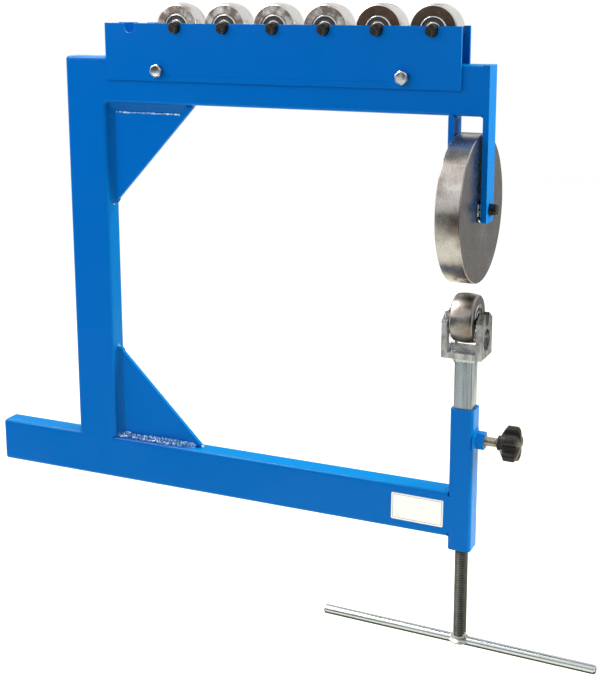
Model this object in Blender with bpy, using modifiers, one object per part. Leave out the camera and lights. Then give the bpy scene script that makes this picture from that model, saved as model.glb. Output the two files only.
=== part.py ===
"""Bench english wheel: a C frame of welded box tube that a vise grips by its lower beam.

A flat upper wheel turns in a fork at the end of the top beam. Under it an anvil roller sits
in an open yoke on a square ram, which a screw with a cross handle raises. A knob locks the ram.
Two plates bolted along the top beam store six more anvil rollers on their own axles.

Units are metres. +Z is up, +X runs from the post towards the wheels and the user stands at -Y.
The origin lies on the underside of the lower beam, halfway along its stretch between the post
and the ram sleeve.
"""

import math

import bmesh
import bpy

# Gaps
SEAT_GAP = 0.0003  # between pieces that are welded, pressed or bolted together
RUNNING_GAP = 0.0003  # radial, around pins, bearings and screws
OVERRUN = 0.004  # how far a cutter passes the faces that it cuts

# Frame of box tube, on edge
TUBE_HEIGHT = 0.050
TUBE_DEPTH = 0.025
TUBE_WALL = 0.0025
TUBE_CORNER = 0.004
TUBE_INNER_CORNER = 0.0015
THROAT_DEPTH = 0.417  # post's inner face to the plane of the wheels
THROAT_HEIGHT = 0.390  # between the two beams
TAIL_LENGTH = 0.110  # lower beam behind the post

# Gusset plates in the two corners of the throat
GUSSET_THICKNESS = 0.005
GUSSET_TIP = 0.003  # blunt edge at each end of the long side
UPPER_GUSSET_RUN = 0.106
UPPER_GUSSET_RISE = 0.114
LOWER_GUSSET_RUN = 0.108
LOWER_GUSSET_RISE = 0.107

# Fork that carries the upper wheel
LEG_THICKNESS = 0.006
LEG_BELOW_AXLE = 0.013
LEG_CORNER = 0.002
WHEEL_SIDE_GAP = 0.002
WHEEL_HEADROOM = 0.017  # between the wheel and the top beam

# Upper wheel
WHEEL_DIAMETER = 0.150
WHEEL_WIDTH = 0.025
WHEEL_CHAMFER = 0.0008
WHEEL_PIN_OVERHANG = 0.0075
WHEEL_PIN_INNER_OVERHANG = 0.0045  # keeps the throat clear
SPACER_DIAMETER = 0.018

# Axle pins and sealed bearings, the same for the wheel and for every roller
PIN_DIAMETER = 0.012
PIN_CHAMFER = 0.0008
BEARING_DIAMETER = 0.028
BEARING_WIDTH = 0.008
BEARING_SEAL_DIAMETER = 0.0244
BEARING_RING_DIAMETER = 0.0150
BEARING_SEAL_RECESS = 0.0006
BEARING_SHOULDER = 0.003  # step that a bearing is pressed against

# Anvil rollers
ROLLER_DIAMETER = 0.051
ROLLER_END_GAP = 0.00025  # at each side, against the depth of the frame tube
ROLLER_CHAMFER = 0.001
WORKING_GAP = 0.0122  # between the wheel and the anvil roller as set here
ANVIL_CROWN_RADIUS = 0.102
SPARE_CROWN_RADII = (0.038, 0.051, 0.064, 0.076, 0.152, 0.305)
SCALED_SPARES = (5, 6)  # ground on the tread only

# Yoke that holds the anvil roller
YOKE_SIDE_GAP = 0.00275
CHEEK_THICKNESS = 0.006
YOKE_DEPTH = 0.038
YOKE_BASE = 0.006
YOKE_FLOOR_GAP = 0.0075  # under the roller
YOKE_PIN_COVER = 0.0064  # axle's centre to the top of the cheeks
YOKE_CHAMFER_RUN = 0.0115
YOKE_CHAMFER_RISE = 0.0075
YOKE_UPPER_WEB = 0.0035  # between the axle slot and the round window under it
YOKE_LOWER_WEB = 0.0007  # between the window and the base

# Sleeve and ram
SLEEVE_SIDE = 0.025
SLEEVE_WALL = 0.0025
SLEEVE_CORNER = 0.004
SLEEVE_INNER_CORNER = 0.0015
SLEEVE_BELOW = 0.014
SLEEVE_ABOVE = 0.0905
RAM_CLEARANCE = 0.0004
RAM_ENGAGEMENT = 0.0745
RAM_WELD = 0.004

# Lift screw, its nut and its cross handle
SCREW_DIAMETER = 0.014
SCREW_CHAMFER = 0.001
LIFT_NUT_HEIGHT = 0.012
HANDLE_DIAMETER = 0.010
HANDLE_LENGTH = 0.305
HANDLE_CHAMFER = 0.001
HANDLE_OFFSET = 0.006  # towards the post
HANDLE_DROP = 0.1055  # sleeve's lower end to the handle's centre line
HANDLE_ANGLE = math.radians(-1.7)

# Lock on the right of the sleeve
LOCK_DROP = 0.0335  # sleeve's upper end to the stud's centre line
LOCK_NUT_FLATS = 0.017
LOCK_NUT_HEIGHT = 0.0097
STUD_DIAMETER = 0.010
STUD_SHOWING = 0.0137
STUD_IN_KNOB = 0.012
KNOB_DIAMETER = 0.039
KNOB_HUB_DIAMETER = 0.0156
KNOB_HUB_LENGTH = 0.0035
KNOB_BACK_SLOPE = 0.0055  # length over which the lobes spread from the waist to their tips
KNOB_TIP_LENGTH = 0.0120
KNOB_DOME = 0.0027
KNOB_WAIST_DIAMETER = 0.020
KNOB_LOBE_WIDTH = 0.0105
KNOB_LOBES = 5
KNOB_TURN = math.radians(3)

# Rack of spare rollers on the top beam
RACK_INSET = 0.0055  # post's inner face to the plates' left end
RACK_HEIGHT = 0.0615
RACK_PLATE = 0.003
RACK_LAP = 0.0248  # how far the plates reach down the beam
SLOT_COUNT = 7
SLOT_PITCH = 0.0572
SLOT_MARGIN = 0.0304  # beyond the first and the last slot
SLOT_DEPTH = 0.0105
BOLT_DIAMETER = 0.008
BOLT_HEAD_FLATS = 0.013
BOLT_HEAD_HEIGHT = 0.0053
BOLT_NUT_HEIGHT = 0.0065
BOLT_THREAD_SHOWING = 0.002
BOLT_RISE = 0.0111
BOLT_LEFT_MARGIN = 0.0655
BOLT_RIGHT_MARGIN = 0.0598

# How finely round shapes are divided
CORNER_STEPS = 4
SLOT_STEPS = 8
HOLE_STEPS = 16
PIN_STEPS = 16
BEARING_STEPS = 16
ROLLER_STEPS = 24
CROWN_STEPS = 4
WHEEL_STEPS = 48
LOBE_STEPS = 6
WAIST_STEPS = 3
DOME_STEPS = 2
MERGE_WITHIN = 0.000003
SMOOTH_BELOW = math.radians(32)

# Places that follow from the sizes above
free_stretch = THROAT_DEPTH - SLEEVE_SIDE / 2
post_inner_x = -free_stretch / 2
post_outer_x = post_inner_x - TUBE_HEIGHT
wheel_x = post_inner_x + THROAT_DEPTH
throat_bottom_z = TUBE_HEIGHT
throat_top_z = throat_bottom_z + THROAT_HEIGHT
frame_top_z = throat_top_z + TUBE_HEIGHT

fork_gap = WHEEL_WIDTH + 2 * WHEEL_SIDE_GAP
wheel_radius = WHEEL_DIAMETER / 2
wheel_z = throat_top_z - WHEEL_HEADROOM - wheel_radius

pin_radius = PIN_DIAMETER / 2
pin_hole_radius = pin_radius + RUNNING_GAP
bearing_radius = BEARING_DIAMETER / 2

roller_radius = ROLLER_DIAMETER / 2
roller_width = TUBE_DEPTH - 2 * ROLLER_END_GAP
anvil_z = wheel_z - wheel_radius - WORKING_GAP - roller_radius

yoke_gap = roller_width + 2 * YOKE_SIDE_GAP
yoke_width = yoke_gap + 2 * CHEEK_THICKNESS
yoke_floor_z = anvil_z - roller_radius - YOKE_FLOOR_GAP
yoke_bottom_z = yoke_floor_z - YOKE_BASE
yoke_top_z = anvil_z + YOKE_PIN_COVER
anvil_pin_length = yoke_width

sleeve_bottom_z = -SLEEVE_BELOW
sleeve_top_z = throat_bottom_z + SLEEVE_ABOVE
sleeve_bore = SLEEVE_SIDE - 2 * SLEEVE_WALL
ram_side = sleeve_bore - 2 * RAM_CLEARANCE
ram_corner = SLEEVE_INNER_CORNER - RAM_CLEARANCE
ram_top_z = yoke_bottom_z - SEAT_GAP
ram_bottom_z = sleeve_top_z - RAM_ENGAGEMENT

screw_radius = SCREW_DIAMETER / 2
handle_radius = HANDLE_DIAMETER / 2
handle_z = sleeve_bottom_z - HANDLE_DROP

lock_z = sleeve_top_z - LOCK_DROP
stud_radius = STUD_DIAMETER / 2
sleeve_right_x = wheel_x + SLEEVE_SIDE / 2
lock_nut_x = sleeve_right_x + SEAT_GAP
knob_x = lock_nut_x + LOCK_NUT_HEIGHT + STUD_SHOWING

rack_left_x = post_inner_x + RACK_INSET
rack_right_x = rack_left_x + (SLOT_COUNT - 1) * SLOT_PITCH + 2 * SLOT_MARGIN
rack_bottom_z = frame_top_z - RACK_LAP
rack_top_z = rack_bottom_z + RACK_HEIGHT
plate_inner_y = TUBE_DEPTH / 2 + SEAT_GAP
plate_outer_y = plate_inner_y + RACK_PLATE
slot_floor_z = rack_top_z - SLOT_DEPTH
spare_z = slot_floor_z + RUNNING_GAP + pin_radius
bolt_z = rack_bottom_z + BOLT_RISE
bolt_hole_radius = BOLT_DIAMETER / 2 + SEAT_GAP
bolt_places_x = (rack_left_x + BOLT_LEFT_MARGIN, rack_right_x - BOLT_RIGHT_MARGIN)

# Rotations that turn a shape made along its own Z, or drawn in its own XY plane
ALONG = {
    "+X": (0, math.pi / 2, 0),
    "-X": (0, -math.pi / 2, 0),
    "+Y": (-math.pi / 2, 0, 0),
    "-Y": (math.pi / 2, 0, 0),
    "+Z": (0, 0, 0),
}
DRAWN_IN_XZ = (math.pi / 2, 0, 0)
DRAWN_IN_YZ = (math.pi / 2, 0, math.pi / 2)


def clear_scene():
    for obj in list(bpy.data.objects):
        bpy.data.objects.remove(obj, do_unlink=True)


def make_collection(name):
    collection = bpy.data.collections.new(name)
    bpy.context.scene.collection.children.link(collection)
    return collection


def make_finish(name, colour, roughness, metallic):
    finish = bpy.data.materials.new(name)
    finish.use_nodes = True
    shader = finish.node_tree.nodes["Principled BSDF"]
    shader.inputs["Base Color"].default_value = (*colour, 1)
    shader.inputs["Roughness"].default_value = roughness
    shader.inputs["Metallic"].default_value = metallic
    finish.diffuse_color = (*colour, 1)
    return finish


clear_scene()
parts = make_collection("english_wheel")
cutters = make_collection("cutters")

paint = make_finish("blue_paint", (0.004, 0.110, 0.480), 0.30, 0)
polished = make_finish("polished_steel", (0.62, 0.61, 0.60), 0.20, 1)
scaled = make_finish("scaled_steel", (0.11, 0.07, 0.05), 0.55, 1)
machined = make_finish("machined_steel", (0.42, 0.42, 0.40), 0.38, 1)
plated = make_finish("plated_steel", (0.72, 0.73, 0.74), 0.25, 1)
blackened = make_finish("blackened_steel", (0.015, 0.014, 0.013), 0.45, 1)
threaded = make_finish("threaded_steel", (0.20, 0.19, 0.18), 0.45, 1)
bearing_steel = make_finish("bearing_steel", (0.60, 0.60, 0.60), 0.25, 1)
plastic = make_finish("black_plastic", (0.012, 0.011, 0.012), 0.38, 0)


def arc(centre, radius, start, end, steps):
    """Points along an arc in a plane, both ends included."""
    angles = [start + (end - start) * step / steps for step in range(steps + 1)]
    return [
        (centre[0] + radius * math.cos(angle), centre[1] + radius * math.sin(angle))
        for angle in angles
    ]


def circle(radius, steps, centre=(0, 0)):
    return arc(centre, radius, 0, 2 * math.pi, steps)[:-1]


def rounded_rectangle(width, height, corner):
    """Outline centred on the origin, with an arc at each corner."""
    across = width / 2 - corner
    up = height / 2 - corner
    quarter = math.pi / 2
    centres = ((across, up), (-across, up), (-across, -up), (across, -up))
    points = []
    for turn, centre in enumerate(centres):
        points += arc(centre, corner, turn * quarter, (turn + 1) * quarter, CORNER_STEPS)
    return points


def hexagon(flats):
    return circle(flats / math.sqrt(3), 6)


def to_object(name, mesh, finish, rotation):
    obj = bpy.data.objects.new(name, mesh)
    obj.rotation_euler = rotation
    if finish is None:
        cutters.objects.link(obj)
        obj.hide_render = True
        obj.display_type = "WIRE"
        return obj
    mesh.materials.append(finish)
    parts.objects.link(obj)
    return obj


def shade_round(mesh):
    mesh.shade_smooth()
    mesh.set_sharp_from_angle(angle=SMOOTH_BELOW)


def evaluated_mesh(obj):
    """The object's shape with its modifiers, as a mesh of its own."""
    graph = bpy.context.evaluated_depsgraph_get()
    graph.update()
    return bpy.data.meshes.new_from_object(obj.evaluated_get(graph))


def plate(name, loops, thickness, finish, rotation):
    """A flat outline, with any holes as further loops, made as thick as asked about its plane."""
    curve = bpy.data.curves.new(name, "CURVE")
    curve.dimensions = "2D"
    curve.fill_mode = "BOTH"
    curve.extrude = thickness / 2
    for loop in loops:
        spline = curve.splines.new("POLY")
        spline.points.add(len(loop) - 1)
        for point, (across, up) in zip(spline.points, loop):
            point.co = (across, up, 0, 1)
        spline.use_cyclic_u = True
    drawn = bpy.data.objects.new(name, curve)
    parts.objects.link(drawn)
    mesh = evaluated_mesh(drawn)
    bpy.data.objects.remove(drawn)
    bpy.data.curves.remove(curve)
    shape = bmesh.new()
    shape.from_mesh(mesh)
    bmesh.ops.remove_doubles(shape, verts=shape.verts, dist=MERGE_WITHIN)
    bmesh.ops.recalc_face_normals(shape, faces=shape.faces)
    shape.to_mesh(mesh)
    shape.free()
    mesh.materials.clear()
    shade_round(mesh)
    mesh.name = name
    return to_object(name, mesh, finish, rotation)


def turned(name, profile, steps, finish, rotation, ring=False):
    """A turned shape: (radius, height) points down its outer side, closed on itself for a ring."""
    drawn = bpy.data.meshes.new(name)
    count = len(profile)
    last = count if ring else count - 1
    edges = [(index, (index + 1) % count) for index in range(last)]
    drawn.from_pydata([(radius, 0, height) for radius, height in profile], edges, [])
    lathe = bpy.data.objects.new(name, drawn)
    parts.objects.link(lathe)
    screw = lathe.modifiers.new("turn", "SCREW")
    screw.angle = 2 * math.pi
    screw.steps = steps
    screw.render_steps = steps
    screw.use_merge_vertices = True
    screw.merge_threshold = MERGE_WITHIN
    mesh = evaluated_mesh(lathe)
    bpy.data.objects.remove(lathe)
    bpy.data.meshes.remove(drawn)
    shade_round(mesh)
    mesh.name = name
    return to_object(name, mesh, finish, rotation)


def rod_profile(radius, length, chamfer):
    half = length / 2
    return [
        (0, half),
        (radius - chamfer, half),
        (radius, half - chamfer),
        (radius, -half + chamfer),
        (radius - chamfer, -half),
        (0, -half),
    ]


def ring_profile(radius, bore_radius, height):
    half = height / 2
    return [(radius, half), (radius, -half), (bore_radius, -half), (bore_radius, half)]


def drill(name, radius, length, rotation, place):
    """A round cutter."""
    profile = [(0, length / 2), (radius, length / 2), (radius, -length / 2), (0, -length / 2)]
    cutter = turned(name, profile, HOLE_STEPS, None, rotation)
    cutter.location = place
    return cutter


def block(name, size, place, finish=None, rotation=(0, 0, 0)):
    mesh = bpy.data.meshes.new(name)
    shape = bmesh.new()
    bmesh.ops.create_cube(shape, size=1)
    bmesh.ops.scale(shape, vec=size, verts=shape.verts)
    shape.to_mesh(mesh)
    shape.free()
    obj = to_object(name, mesh, finish, rotation)
    obj.location = place
    return obj


def combine(obj, other, operation):
    modifier = obj.modifiers.new(other.name, "BOOLEAN")
    modifier.operation = operation
    modifier.solver = "EXACT"
    modifier.object = other


def carrier(name, place, parent=None):
    """An empty on the axis or at the datum of a group of pieces."""
    empty = bpy.data.objects.new(name, None)
    parts.objects.link(empty)
    empty["place"] = list(place)
    if parent is None:
        empty.location = place
        return empty
    return seat(empty, parent, place)


def seat(obj, empty, place):
    """Puts a piece at a place of the whole object, carried by an empty."""
    obj.parent = empty
    obj.location = [value - base for value, base in zip(place, empty["place"])]
    return obj


def tube_section(name, width, depth, wall, corner, inner_corner, length, rotation):
    outer = rounded_rectangle(width, depth, corner)
    inner = rounded_rectangle(width - 2 * wall, depth - 2 * wall, inner_corner)
    return plate(name, [outer, inner], length, paint, rotation)


def frame_tube(name, length, rotation):
    return tube_section(
        name, TUBE_HEIGHT, TUBE_DEPTH, TUBE_WALL, TUBE_CORNER, TUBE_INNER_CORNER, length, rotation
    )


def mitre_cutter(name, side):
    """A block whose face lies on the mitre of post and top beam, on the given side of it."""
    reach = 2 * (TUBE_HEIGHT + OVERRUN)
    offset = side * (reach - SEAT_GAP) / 2 / math.sqrt(2)
    middle_x = (post_outer_x + post_inner_x) / 2
    middle_z = (frame_top_z + throat_top_z) / 2
    return block(
        name,
        (reach, TUBE_DEPTH + 2 * OVERRUN, reach),
        (middle_x + offset, 0, middle_z + offset),
        rotation=(0, -math.pi / 4, 0),
    )


def make_frame(base):
    lower_end_x = wheel_x - SLEEVE_SIDE / 2 - SEAT_GAP
    lower_start_x = post_outer_x - TAIL_LENGTH
    lower_beam = frame_tube("lower_beam", lower_end_x - lower_start_x, ALONG["+X"])
    seat(lower_beam, base, ((lower_start_x + lower_end_x) / 2, 0, TUBE_HEIGHT / 2))

    post_bottom_z = throat_bottom_z + SEAT_GAP
    post = frame_tube("post", frame_top_z - post_bottom_z, ALONG["+Z"])
    seat(post, base, ((post_outer_x + post_inner_x) / 2, 0, (post_bottom_z + frame_top_z) / 2))
    combine(post, mitre_cutter("mitre_over_post", 1), "DIFFERENCE")

    beam_end_x = wheel_x + fork_gap / 2 - SEAT_GAP
    top_beam = frame_tube("top_beam", beam_end_x - post_outer_x, ALONG["+X"])
    seat(top_beam, base, ((post_outer_x + beam_end_x) / 2, 0, throat_top_z + TUBE_HEIGHT / 2))
    combine(top_beam, mitre_cutter("mitre_under_beam", -1), "DIFFERENCE")
    for side, bolt_x in zip(("left", "right"), bolt_places_x):
        hole = drill(
            f"beam_bolt_hole_{side}",
            bolt_hole_radius,
            TUBE_DEPTH + 2 * OVERRUN,
            ALONG["+Y"],
            (bolt_x, 0, bolt_z),
        )
        combine(top_beam, hole, "DIFFERENCE")


def gusset(name, run, rise, corner_z, up):
    """A triangle with blunt tips in a corner of the throat. up is 1 over the lower beam, -1 under."""
    near_x = post_inner_x + SEAT_GAP
    near_z = corner_z + up * SEAT_GAP
    outline = [
        (near_x, near_z),
        (post_inner_x + run, near_z),
        (post_inner_x + run, near_z + up * GUSSET_TIP),
        (near_x + GUSSET_TIP, corner_z + up * rise),
        (near_x, corner_z + up * rise),
    ]
    return plate(name, [outline], GUSSET_THICKNESS, paint, DRAWN_IN_XZ)


def make_gussets(base):
    lower = gusset("lower_gusset", LOWER_GUSSET_RUN, LOWER_GUSSET_RISE, throat_bottom_z, 1)
    upper = gusset("upper_gusset", UPPER_GUSSET_RUN, UPPER_GUSSET_RISE, throat_top_z, -1)
    seat(lower, base, (0, 0, 0))
    seat(upper, base, (0, 0, 0))


def fork_leg(name, top_z):
    """A flat bar with rounded lower corners and the hole for the axle. Its origin is on the axle."""
    half = TUBE_DEPTH / 2
    top = top_z - wheel_z
    bottom = -LEG_BELOW_AXLE
    outline = [(half, top), (-half, top)]
    outline += arc(
        (-half + LEG_CORNER, bottom + LEG_CORNER), LEG_CORNER, math.pi, 1.5 * math.pi, CORNER_STEPS
    )
    outline += arc(
        (half - LEG_CORNER, bottom + LEG_CORNER), LEG_CORNER, -math.pi / 2, 0, CORNER_STEPS
    )
    hole = circle(pin_hole_radius, PIN_STEPS)
    return plate(name, [outline, hole], LEG_THICKNESS, paint, DRAWN_IN_YZ)


def make_fork(base):
    offset = (fork_gap + LEG_THICKNESS) / 2
    outer = fork_leg("outer_fork_leg", frame_top_z)
    inner = fork_leg("inner_fork_leg", throat_top_z - SEAT_GAP)
    seat(outer, base, (wheel_x + offset, 0, wheel_z))
    seat(inner, base, (wheel_x - offset, 0, wheel_z))

    length = fork_gap + 2 * LEG_THICKNESS + WHEEL_PIN_OVERHANG + WHEEL_PIN_INNER_OVERHANG
    shift = (WHEEL_PIN_OVERHANG - WHEEL_PIN_INNER_OVERHANG) / 2
    profile = rod_profile(pin_radius, length, PIN_CHAMFER)
    axle = turned("wheel_axle", profile, PIN_STEPS, blackened, ALONG["+X"])
    seat(axle, base, (wheel_x + shift, 0, wheel_z))

    thickness = WHEEL_SIDE_GAP - 2 * SEAT_GAP
    ring = ring_profile(SPACER_DIAMETER / 2, pin_hole_radius, thickness)
    middle = (WHEEL_WIDTH + WHEEL_SIDE_GAP) / 2
    for side, sign in (("left", -1), ("right", 1)):
        spacer = turned(f"wheel_spacer_{side}", ring, PIN_STEPS, machined, ALONG["+X"], ring=True)
        seat(spacer, base, (wheel_x + sign * middle, 0, wheel_z))


def bearing(name, rotation):
    """A sealed ball bearing with its recessed seal on the side that its own Z points to."""
    half = BEARING_WIDTH / 2
    seal_radius = BEARING_SEAL_DIAMETER / 2
    ring_radius = BEARING_RING_DIAMETER / 2
    sunk = half - BEARING_SEAL_RECESS
    profile = [
        (seal_radius, half),
        (bearing_radius, half),
        (bearing_radius, -half),
        (pin_hole_radius, -half),
        (pin_hole_radius, half),
        (ring_radius, half),
        (ring_radius, sunk),
        (seal_radius, sunk),
    ]
    return turned(name, profile, BEARING_STEPS, bearing_steel, rotation, ring=True)


def bored_profile(tread, width):
    """A wheel's closed profile: its tread points, then faces with a bearing pocket in each."""
    pocket = bearing_radius + RUNNING_GAP
    land = bearing_radius - BEARING_SHOULDER
    face = width / 2
    step = face - BEARING_WIDTH - SEAT_GAP
    return tread + [
        (pocket, -face),
        (pocket, -step),
        (land, -step),
        (land, step),
        (pocket, step),
        (pocket, face),
    ]


def make_upper_wheel(axis):
    face = WHEEL_WIDTH / 2
    tread = [
        (wheel_radius - WHEEL_CHAMFER, face),
        (wheel_radius, face - WHEEL_CHAMFER),
        (wheel_radius, -face + WHEEL_CHAMFER),
        (wheel_radius - WHEEL_CHAMFER, -face),
    ]
    profile = bored_profile(tread, WHEEL_WIDTH)
    wheel = turned("upper_wheel", profile, WHEEL_STEPS, polished, ALONG["+X"], ring=True)
    seat(wheel, axis, (wheel_x, 0, wheel_z))
    middle = (WHEEL_WIDTH - BEARING_WIDTH) / 2
    for side, sign, way in (("left", -1, "-X"), ("right", 1, "+X")):
        ball_bearing = bearing(f"wheel_bearing_{side}", ALONG[way])
        seat(ball_bearing, axis, (wheel_x + sign * middle, 0, wheel_z))


def crowned_tread(crown_radius):
    """Tread points from one chamfered edge over the crown to the other."""
    face = roller_width / 2
    half = face - ROLLER_CHAMFER
    sunk = crown_radius - roller_radius
    rises = [half - 2 * half * step / CROWN_STEPS for step in range(CROWN_STEPS + 1)]
    crown = [(math.sqrt(crown_radius**2 - rise**2) - sunk, rise) for rise in rises]
    edge = crown[0][0] - ROLLER_CHAMFER
    return [(edge, face)] + crown + [(edge, -face)]


def roller(name, crown_radius, finish, rotation):
    profile = bored_profile(crowned_tread(crown_radius), roller_width)
    return turned(name, profile, ROLLER_STEPS, finish, rotation, ring=True)


def make_sleeve(base):
    sleeve = tube_section(
        "ram_sleeve",
        SLEEVE_SIDE,
        SLEEVE_SIDE,
        SLEEVE_WALL,
        SLEEVE_CORNER,
        SLEEVE_INNER_CORNER,
        sleeve_top_z - sleeve_bottom_z,
        ALONG["+Z"],
    )
    seat(sleeve, base, (wheel_x, 0, (sleeve_top_z + sleeve_bottom_z) / 2))
    stud_hole = drill(
        "sleeve_stud_hole",
        stud_radius + RUNNING_GAP,
        SLEEVE_WALL + 2 * OVERRUN,
        ALONG["+X"],
        (sleeve_right_x - SLEEVE_WALL / 2, 0, lock_z),
    )
    combine(sleeve, stud_hole, "DIFFERENCE")

    nut_side = sleeve_bore - 2 * SEAT_GAP
    nut_outline = rounded_rectangle(nut_side, nut_side, SLEEVE_INNER_CORNER)
    nut_bore = circle(screw_radius + RUNNING_GAP, PIN_STEPS)
    lift_nut = plate(
        "lift_nut", [nut_outline, nut_bore], LIFT_NUT_HEIGHT, machined, ALONG["+Z"]
    )
    seat(lift_nut, base, (wheel_x, 0, sleeve_bottom_z + SEAT_GAP + LIFT_NUT_HEIGHT / 2))

    loops = [hexagon(LOCK_NUT_FLATS), circle(stud_radius + RUNNING_GAP, PIN_STEPS)]
    lock_nut = plate("lock_nut", loops, LOCK_NUT_HEIGHT, paint, DRAWN_IN_YZ)
    seat(lock_nut, base, (lock_nut_x + LOCK_NUT_HEIGHT / 2, 0, lock_z))


def make_ram(guide):
    outline = rounded_rectangle(ram_side, ram_side, ram_corner)
    ram = plate("ram", [outline], ram_top_z - ram_bottom_z, plated, ALONG["+Z"])
    seat(ram, guide, (wheel_x, 0, (ram_top_z + ram_bottom_z) / 2))

    flare_mesh = bpy.data.meshes.new("ram_weld")
    shape = bmesh.new()
    flat_to_corner = math.sqrt(2)
    flare_height = 2 * RAM_WELD
    bmesh.ops.create_cone(
        shape,
        cap_ends=True,
        segments=4,
        radius1=(ram_side / 2 - SEAT_GAP) * flat_to_corner,
        radius2=(ram_side / 2 + RAM_WELD) * flat_to_corner,
        depth=flare_height,
    )
    shape.to_mesh(flare_mesh)
    shape.free()
    flare = to_object("ram_weld", flare_mesh, None, (0, 0, math.pi / 4))
    flare.location = (wheel_x, 0, ram_top_z - flare_height / 2)
    combine(ram, flare, "UNION")


def make_yoke(guide):
    """One block with a slot and a window through both cheeks, hollowed between them."""
    half = YOKE_DEPTH / 2
    top = yoke_top_z - anvil_z
    bottom = yoke_bottom_z - anvil_z
    floor = yoke_floor_z - anvil_z
    outline = [(-half, bottom), (half, bottom), (half, top - YOKE_CHAMFER_RISE)]
    outline += [(half - YOKE_CHAMFER_RUN, top), (pin_hole_radius, top)]
    outline += arc((0, 0), pin_hole_radius, 0, -math.pi, SLOT_STEPS)
    outline += [(-pin_hole_radius, top), (-half + YOKE_CHAMFER_RUN, top)]
    outline += [(-half, top - YOKE_CHAMFER_RISE)]
    window_top = -pin_hole_radius - YOKE_UPPER_WEB
    window_bottom = floor + YOKE_LOWER_WEB
    window = circle(
        (window_top - window_bottom) / 2, HOLE_STEPS, (0, (window_top + window_bottom) / 2)
    )
    yoke = plate("anvil_yoke", [outline, window], yoke_width, machined, DRAWN_IN_YZ)
    seat(yoke, guide, (wheel_x, 0, anvil_z))
    height = top - floor + OVERRUN
    hollow = block(
        "yoke_hollow",
        (yoke_gap, YOKE_DEPTH + 2 * OVERRUN, height),
        (wheel_x, 0, yoke_floor_z + height / 2),
    )
    combine(yoke, hollow, "DIFFERENCE")

    profile = rod_profile(pin_radius, anvil_pin_length, PIN_CHAMFER)
    axle = turned("anvil_axle", profile, PIN_STEPS, blackened, ALONG["+X"])
    seat(axle, guide, (wheel_x, 0, anvil_z))


def make_anvil(axis):
    anvil = roller("anvil_roller", ANVIL_CROWN_RADIUS, polished, ALONG["+X"])
    seat(anvil, axis, (wheel_x, 0, anvil_z))
    middle = (roller_width - BEARING_WIDTH) / 2
    for side, sign, way in (("left", -1, "-X"), ("right", 1, "+X")):
        ball_bearing = bearing(f"anvil_bearing_{side}", ALONG[way])
        seat(ball_bearing, axis, (wheel_x + sign * middle, 0, anvil_z))


def make_lift(axis):
    """The screw ends in a saddle over the cross handle that is welded to it."""
    top_z = ram_bottom_z - SEAT_GAP
    length = top_z - handle_z
    profile = rod_profile(screw_radius, length, SCREW_CHAMFER)
    screw = turned("lift_screw", profile, PIN_STEPS, threaded, ALONG["+Z"])
    seat(screw, axis, (wheel_x, 0, (top_z + handle_z) / 2))
    saddle = drill(
        "screw_saddle",
        handle_radius + SEAT_GAP,
        SCREW_DIAMETER + 2 * OVERRUN,
        (0, math.pi / 2, HANDLE_ANGLE),
        (wheel_x, 0, handle_z),
    )
    combine(screw, saddle, "DIFFERENCE")

    profile = rod_profile(handle_radius, HANDLE_LENGTH, HANDLE_CHAMFER)
    handle = turned("lift_handle", profile, PIN_STEPS, plated, (0, math.pi / 2, HANDLE_ANGLE))
    offset_x = -HANDLE_OFFSET * math.cos(HANDLE_ANGLE)
    offset_y = -HANDLE_OFFSET * math.sin(HANDLE_ANGLE)
    seat(handle, axis, (wheel_x + offset_x, offset_y, handle_z))


def knob_outline():
    """Lobes with round ends, joined by waist arcs that meet them smoothly."""
    tip = KNOB_LOBE_WIDTH / 2
    reach = KNOB_DIAMETER / 2 - tip
    waist = KNOB_WAIST_DIAMETER / 2
    half_turn = math.pi / KNOB_LOBES
    spare = tip - waist
    hollow_reach = (reach**2 - spare**2) / (2 * (reach * math.cos(half_turn) + spare))
    hollow = hollow_reach - waist
    meet = math.atan2(
        hollow_reach * math.sin(half_turn), hollow_reach * math.cos(half_turn) - reach
    )
    points = []
    for lobe in range(KNOB_LOBES):
        turn = KNOB_TURN + 2 * half_turn * lobe
        centre = (reach * math.cos(turn), reach * math.sin(turn))
        points += arc(centre, tip, turn - meet, turn + meet, LOBE_STEPS)
        between = turn + half_turn
        middle = (hollow_reach * math.cos(between), hollow_reach * math.sin(between))
        start = turn + meet + math.pi
        end = 2 * (between + math.pi) - start
        points += arc(middle, hollow, start, end, WAIST_STEPS)[1:-1]
    return points


def knob_envelope():
    """The turned outer shape that the lobes are cut to, from the domed front to the hub's end."""
    tip = KNOB_DIAMETER / 2
    waist = KNOB_WAIST_DIAMETER / 2
    hub = KNOB_HUB_DIAMETER / 2
    slope_end = KNOB_HUB_LENGTH + KNOB_BACK_SLOPE
    dome_start = slope_end + KNOB_TIP_LENGTH
    dome = [
        (tip * math.sin(angle), dome_start + KNOB_DOME * math.cos(angle))
        for angle in (math.pi / 2 * step / DOME_STEPS for step in range(DOME_STEPS + 1))
    ]
    back = [(tip, slope_end), (waist, KNOB_HUB_LENGTH), (hub, KNOB_HUB_LENGTH), (hub, 0), (0, 0)]
    return dome + back


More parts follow.
